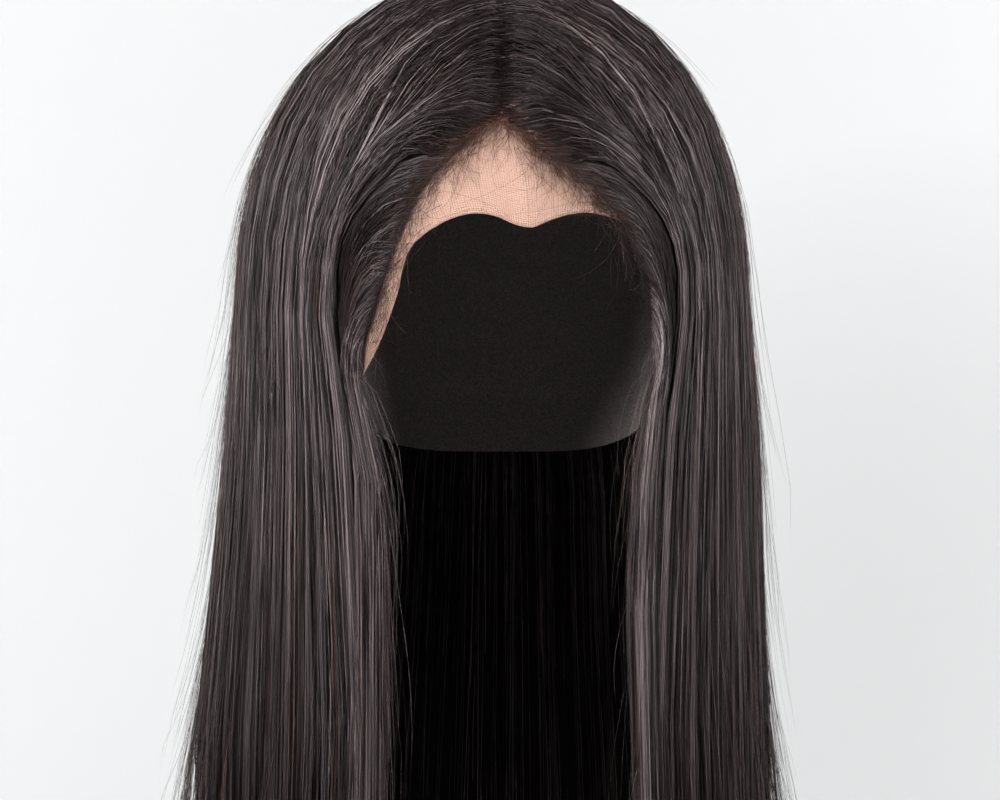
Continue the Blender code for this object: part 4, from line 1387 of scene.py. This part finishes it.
def build_roots(hair, side, rng, materials):
    """Fine roots along the hairline, whose number falls off over the bare lace and that sweep
    aside and down with the hair. Those at the peak are warm.
    """
    count = int(ROOT_HAIRS["part"] * hair.fringe_count)
    share = np.linspace(0.0, 1.0, ROOT_HAIRS["stations"])[None, :]
    along = PEAK["share"] * rng.beta(*BETAS["root_along"], count)
    x, z = hairline_point(side, along, ROOT_HAIRS["up"] - rng.gamma(*GAMMAS["root_off"], count))
    length = rng.gamma(*GAMMAS["root_length"], count)[:, None]
    heading = (rng.normal(*SPREADS["root_heading"], count)[:, None]
               + rng.normal(*SPREADS["root_bend"], count)[:, None] * share)
    px = x[:, None] + side * length * share * np.sin(heading)
    pz = z[:, None] - length * share * np.cos(heading)
    rise = rng.uniform(*RANGES["root_lift"], count)[:, None]
    lift = LACE_WALL + ROOT_HAIRS["seat"] + ROOT_HAIRS["lift"] * share * rise
    width = rng.uniform(*RANGES["root_width"], count)[:, None]
    radius = ROOT_HAIRS["radius"] * width * (1.0 - 0.5 * share)
    tone = rng.uniform(*RANGES["root_tone"], count)
    warm = rng.uniform(*RANGES["root_warm"], count) * along ** 3
    values = {"tone": tone, "warm": warm, "lit": np.full(count, ROOT_HAIRS["lit"])}
    short_hairs("hairline_roots_" + SIDE_NAMES[side], (px, pz), lift, radius, values, rng, materials)


def build_babies(hair, side, rng, materials):
    """Baby hairs that curl forward over the lace and stay above its front edge."""
    count = int(hair.fringe_count * BABY_HAIRS[SIDE_NAMES[side]])
    share = np.linspace(0.0, 1.0, BABY_HAIRS["stations"])[None, :]
    along = BABY_HAIRS["until"] * rng.beta(*BETAS["baby_along"], count)
    x, z = hairline_point(side, along, rng.uniform(*RANGES["baby_up"], count))
    length = rng.gamma(*GAMMAS["baby_length"], count)[:, None]
    heading = (rng.normal(*SPREADS["baby_heading"], count)[:, None]
               + rng.normal(*SPREADS["baby_bend"], count)[:, None] * share)
    step = length / share.shape[1]
    px = x[:, None] + side * np.cumsum(step * np.sin(heading), axis=1)
    pz = z[:, None] - np.cumsum(step * np.cos(heading), axis=1)
    rows, _ = lace_rows()
    edge = np.interp(px, [row["x"] for row in rows], [row["z"] for row in rows])
    pz = np.maximum(pz, edge + rng.uniform(*RANGES["baby_floor"], count)[:, None])
    widest = curve_at(HAIRLINE[side], "share", "x", 0.0) + BABY_HAIRS["past"]
    px = side * np.clip(side * px, -BABY_HAIRS["across"], widest)
    rise = rng.uniform(*RANGES["baby_lift"], count)[:, None]
    lift = LACE_WALL + BABY_HAIRS["seat"] + BABY_HAIRS["lift"] * np.sin(math.pi * share) * rise
    width = rng.uniform(*RANGES["baby_width"], count)[:, None]
    radius = BABY_HAIRS["radius"] * width * (1.0 - 0.5 * share)
    tone = rng.uniform(*RANGES["baby_tone"], count)
    warm = rng.uniform(*RANGES["baby_warm"], count)
    values = {"tone": tone, "warm": warm, "lit": np.full(count, BABY_HAIRS["lit"])}
    short_hairs("baby_hairs_" + SIDE_NAMES[side], (px, pz), lift, radius, values, rng, materials)


# Lace


def lace_rows():
    """The front edge as a table over its length, and the length in millimetres."""
    knots = np.array([[row["x"], row["z"]] for row in LACE_EDGE])
    length = np.concatenate([[0.0], np.cumsum(np.hypot(*np.diff(knots, axis=0).T))])
    rows = [{"s": s, "x": x, "z": z} for s, (x, z) in zip(length / length[-1], knots)]
    return rows, length[-1]


def lace_grid(rows, s, r, offset):
    """Point of the lace at s along its front edge and r from that edge (0) to the seam (1)."""
    edge = front_of_head(curve_at(rows, "s", "x", s), curve_at(rows, "s", "z", s), 0.0)
    turn = 2.0 * s - 1.0
    angle = turn * SEAM_EAR_ANGLE
    x = HEAD_HALF_WIDTH * np.sin(angle)
    y = SEAM_TOP_Y + (SEAM_EAR_Y - SEAM_TOP_Y) * turn * turn - SEAM_LAP
    arch = np.stack([x, y, HEAD_MIDDLE[2] + HEAD_RISE * np.cos(angle)], axis=-1)
    return on_head(mix(edge, arch, r), offset)


def bare_limit(rows, s):
    """How far r runs from the edge of the lace to just past the hairline."""
    r = np.linspace(0.0, 1.0, BARE["steps"])
    grid_s, grid_r = np.meshgrid(s, r, indexing="ij")
    points = lace_grid(rows, grid_s, grid_r, 0.0)
    share = np.linspace(0.0, 1.0, BARE["knots"])
    bare = np.zeros(points.shape[:2], dtype=bool)
    for side in (LEFT, RIGHT):
        x = curve_at(HAIRLINE[side], "share", "x", share)
        z = curve_at(HAIRLINE[side], "share", "z", share)
        reach = np.interp(points[..., 2], z, x) + BARE["past"]
        ours = side * points[..., 0] >= 0.0
        bare |= ours & (side * points[..., 0] < reach) & (points[..., 2] < BARE["top_z"])
    bare[:, 0] = True
    first_hidden = np.argmin(bare, axis=1)
    return np.maximum(r[first_hidden], BARE["least"])


def build_lace(lace, materials):
    """Bare net from its wavy edge to the hairline, upright and cross threads, and the lace ground
    from there to the seam as a thin closed wall.
    """
    rows, length = lace_rows()
    pitch = lace.pitch / MILLIMETRE
    s = (np.arange(int(length / pitch)) + 0.5) * pitch / length
    even = NET["evened"]
    limit = np.pad(bare_limit(rows, s), even // 2, mode="edge")
    limit = np.convolve(limit, np.ones(even) / even, mode="valid")
    share = np.linspace(0.0, 1.0, NET["stations"])[None, :]
    ss = np.broadcast_to(s[:, None], (len(s), NET["stations"]))
    paths = lace_grid(rows, ss, limit[:, None] * share, NET["upright_lift"])
    radius = np.full(paths.shape[:2], 0.5 * lace.warp / MILLIMETRE)
    warp = strands("lace_net_upright", paths, radius, np.zeros(len(s)), {}, materials["thread"])
    depth = np.linalg.norm(lace_grid(rows, s, 0.0 * s, 0.0) - lace_grid(rows, s, limit, 0.0), axis=-1)
    lines = []
    for step in range(int(depth.max() / pitch)):
        far = (step + NET["first_cross"]) * pitch
        open_s = s[depth > far]
        if len(open_s) < NET["fewest"]:
            continue
        run = np.linspace(open_s[0], open_s[-1], NET["cross_points"])
        chord = np.interp(run, s, depth / limit)
        lines.append(lace_grid(rows, run, far / chord, NET["cross_lift"]))
    paths = np.stack(lines)
    radius = np.full(paths.shape[:2], 0.5 * lace.weft / MILLIMETRE)
    weft = strands("lace_net_cross", paths, radius, np.zeros(len(lines)), {}, materials["thread"])
    ss, rr = np.meshgrid(np.linspace(0.0, 1.0, GROUND["columns"]), np.linspace(0.0, 1.0, GROUND["rows"]))
    outer = lace_grid(rows, ss, rr, GROUND["outer"])
    inner = lace_grid(rows, ss, rr, GROUND["inner"])
    flow = np.stack([length * ss, GROUND["flow"] * rr], axis=-1)
    ground = shell("lace_ground", outer, inner, flow, materials["ground"], False)
    bare = np.interp(ss, s, limit)
    covered = smooth_step((rr - bare) / GROUND["hem"] + 0.5)
    shaded = np.maximum(ramp("lace_shade", rr / bare), ramp("tab_shade", np.abs(2.0 * ss - 1.0)))
    for key, value in (("hidden", covered), ("shaded", shaded)):
        add_values(ground, key, np.concatenate([value, value[:, ::-1]], axis=1))
    for piece in (warp, weft, ground):
        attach(piece, "root")
        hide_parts("lace_front")


# Operators


def hair_materials(hair):
    """The finishes that all hair shares, made once."""
    made = bpy.data.materials
    if "hair_strand" not in made:
        strand_material("hair_strand", hair, 0.0)
        strand_material("hair_fine", hair, FINE_ROUGHER)
        base_material("hair_base", hair)
    return {"strand": made["hair_strand"], "fine": made["hair_fine"], "base": made["hair_base"]}


class WIG_OT_outer_hair(Operator):
    """Build the sections that fall from the part"""

    bl_idname = "wig.outer_hair"
    bl_label = "Outer Hair"

    def execute(self, context):
        hair = context.scene.wig_hair
        for side in (LEFT, RIGHT):
            for section in SECTIONS:
                build_section(hair, side, section, hair_materials(hair))
        return {"FINISHED"}


class WIG_OT_temple_hair(Operator):
    """Build the sections that are tied along the hairline"""

    bl_idname = "wig.temple_hair"
    bl_label = "Temple Hair"

    def execute(self, context):
        hair = context.scene.wig_hair
        for side in (LEFT, RIGHT):
            build_temple(hair, side, hair_materials(hair))
        return {"FINISHED"}


class WIG_OT_loose_hair(Operator):
    """Build the single hairs that stand off the surface"""

    bl_idname = "wig.loose_hair"
    bl_label = "Loose Hairs"

    def execute(self, context):
        hair = context.scene.wig_hair
        for side in (LEFT, RIGHT):
            build_loose(hair, side, hair_materials(hair))
        return {"FINISHED"}


class WIG_OT_hairline(Operator):
    """Build the short hairs along the hairline"""

    bl_idname = "wig.hairline"
    bl_label = "Hairline"

    def execute(self, context):
        hair = context.scene.wig_hair
        for side in (LEFT, RIGHT):
            rng = seeded("fringe", side)
            build_roots(hair, side, rng, hair_materials(hair))
            build_babies(hair, side, rng, hair_materials(hair))
        return {"FINISHED"}


class WIG_OT_lace(Operator):
    """Build the lace net and its ground"""

    bl_idname = "wig.lace"
    bl_label = "Lace"

    def execute(self, context):
        lace = context.scene.wig_lace
        knot = [KNOT_TONE * part for part in context.scene.wig_hair.dark]
        materials = {"thread": thread_material("lace_thread", lace.lace),
                     "ground": ground_material("lace_ground", lace, knot)}
        build_lace(lace, materials)
        return {"FINISHED"}


class WIG_OT_cap(Operator):
    """Give the stretch cap its net"""

    bl_idname = "wig.cap"
    bl_label = "Cap"

    def execute(self, context):
        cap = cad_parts["wig_cap"]
        cap.material_slots[0].material = cap_material("cap_net", context.scene.wig_lace.cap)
        return {"FINISHED"}


def aimed(name, data, place, target):
    """Object at a place whose -Z axis points at a target."""
    item = bpy.data.objects.new(name, data)
    item.location = place
    item.rotation_euler = (Vector(target) - Vector(place)).to_track_quat("-Z", "Y").to_euler()
    bpy.context.collection.objects.link(item)
    return item


def area_lamp(row, stage):
    """Soft rectangular lamp from a row of LAMPS."""
    data = bpy.data.lights.new(row["name"], "AREA")
    data.shape = "RECTANGLE"
    data.size, data.size_y = row["size"]
    data.energy = getattr(stage, row["power"]) * row["times"]
    data.spread = row["spread"]
    aimed(row["name"], data, row["at"], row["to"])


class WIG_OT_stage(Operator):
    """Build the backdrop, the lamps and the camera"""

    bl_idname = "wig.stage"
    bl_label = "Stage"

    def execute(self, context):
        stage = context.scene.wig_stage
        paper = BACKDROP
        span = np.array([-paper["half_width"], paper["half_width"]])
        turn = np.linspace(0.0, 0.5 * math.pi, 17)
        bend = paper["bend"] + paper["radius"] * np.sin(turn)
        ahead = np.concatenate([[paper["front"]], bend, [paper["wall"]]])
        rise = paper["radius"] - paper["radius"] * np.cos(turn)
        height = np.concatenate([[0.0], rise, [paper["top"]]]) + stage.floor
        x, y = np.meshgrid(span, ahead)
        points = np.stack([x, y, np.broadcast_to(height[:, None], x.shape)], axis=-1).reshape(-1, 3)
        row = np.arange(len(ahead) - 1) * 2
        faces = np.stack([row, row + 1, row + 3, row + 2], axis=-1)
        sheet = new_object("backdrop", points / MILLIMETRE, faces.ravel(), np.arange(len(faces)) * 4,
                           stage_material("backdrop_paper", stage.paper))

        world = bpy.data.worlds.new("studio")
        world.use_nodes = True
        light = world.node_tree.nodes["Background"]
        light.inputs["Color"].default_value = (1.0, 1.0, 1.0, 1.0)
        light.inputs["Strength"].default_value = stage.world
        context.scene.world = world
        for row in LAMPS:
            area_lamp(row, stage)

        data = bpy.data.cameras.new("camera")
        data.sensor_width = SENSOR_MM
        data.lens = SENSOR_MM * VIEW_DISTANCE / (METRES_PER_PX * PICTURE_WIDTH_PX)
        aim = ((PICTURE_WIDTH_PX / 2 - MIDDLE_X_PX) * METRES_PER_PX, 0.0,
               CAMERA_Z + (CAMERA_Y_PX - PICTURE_HEIGHT_PX / 2) * METRES_PER_PX)
        context.scene.camera = aimed("camera", data, (0.0, -VIEW_DISTANCE, CAMERA_Z), aim)
        context.scene.view_settings.view_transform = "Standard"
        return {"FINISHED"}


OPERATORS = (WIG_OT_stage, WIG_OT_cap, WIG_OT_lace, WIG_OT_outer_hair, WIG_OT_temple_hair, WIG_OT_hairline,
             WIG_OT_loose_hair)


class WIG_PT_panel(Panel):
    """Sidebar list of the wig's pieces"""

    bl_idname = "WIG_PT_panel"
    bl_label = "Wig"
    bl_space_type = "VIEW_3D"
    bl_region_type = "UI"
    bl_category = "Wig"

    def draw(self, context):
        for settings in (context.scene.wig_hair, context.scene.wig_lace, context.scene.wig_stage):
            box = self.layout.box()
            for name in settings.__annotations__:
                box.prop(settings, name)
        for operator in OPERATORS:
            self.layout.operator(operator.bl_idname)


CLASSES = (HairSettings, LaceSettings, StageSettings) + OPERATORS + (WIG_PT_panel,)


def register():
    for item in CLASSES:
        bpy.utils.register_class(item)
    bpy.types.Scene.wig_hair = PointerProperty(type=HairSettings)
    bpy.types.Scene.wig_lace = PointerProperty(type=LaceSettings)
    bpy.types.Scene.wig_stage = PointerProperty(type=StageSettings)


def unregister():
    del bpy.types.Scene.wig_stage
    del bpy.types.Scene.wig_lace
    del bpy.types.Scene.wig_hair
    for item in reversed(CLASSES):
        bpy.utils.unregister_class(item)


def main():
    """Build the stage and every piece."""
    register()
    bpy.ops.wig.stage()
    bpy.ops.wig.cap()
    bpy.ops.wig.lace()
    bpy.ops.wig.outer_hair()
    bpy.ops.wig.temple_hair()
    bpy.ops.wig.hairline()
    bpy.ops.wig.loose_hair()


if __name__ == "__main__":
    main()
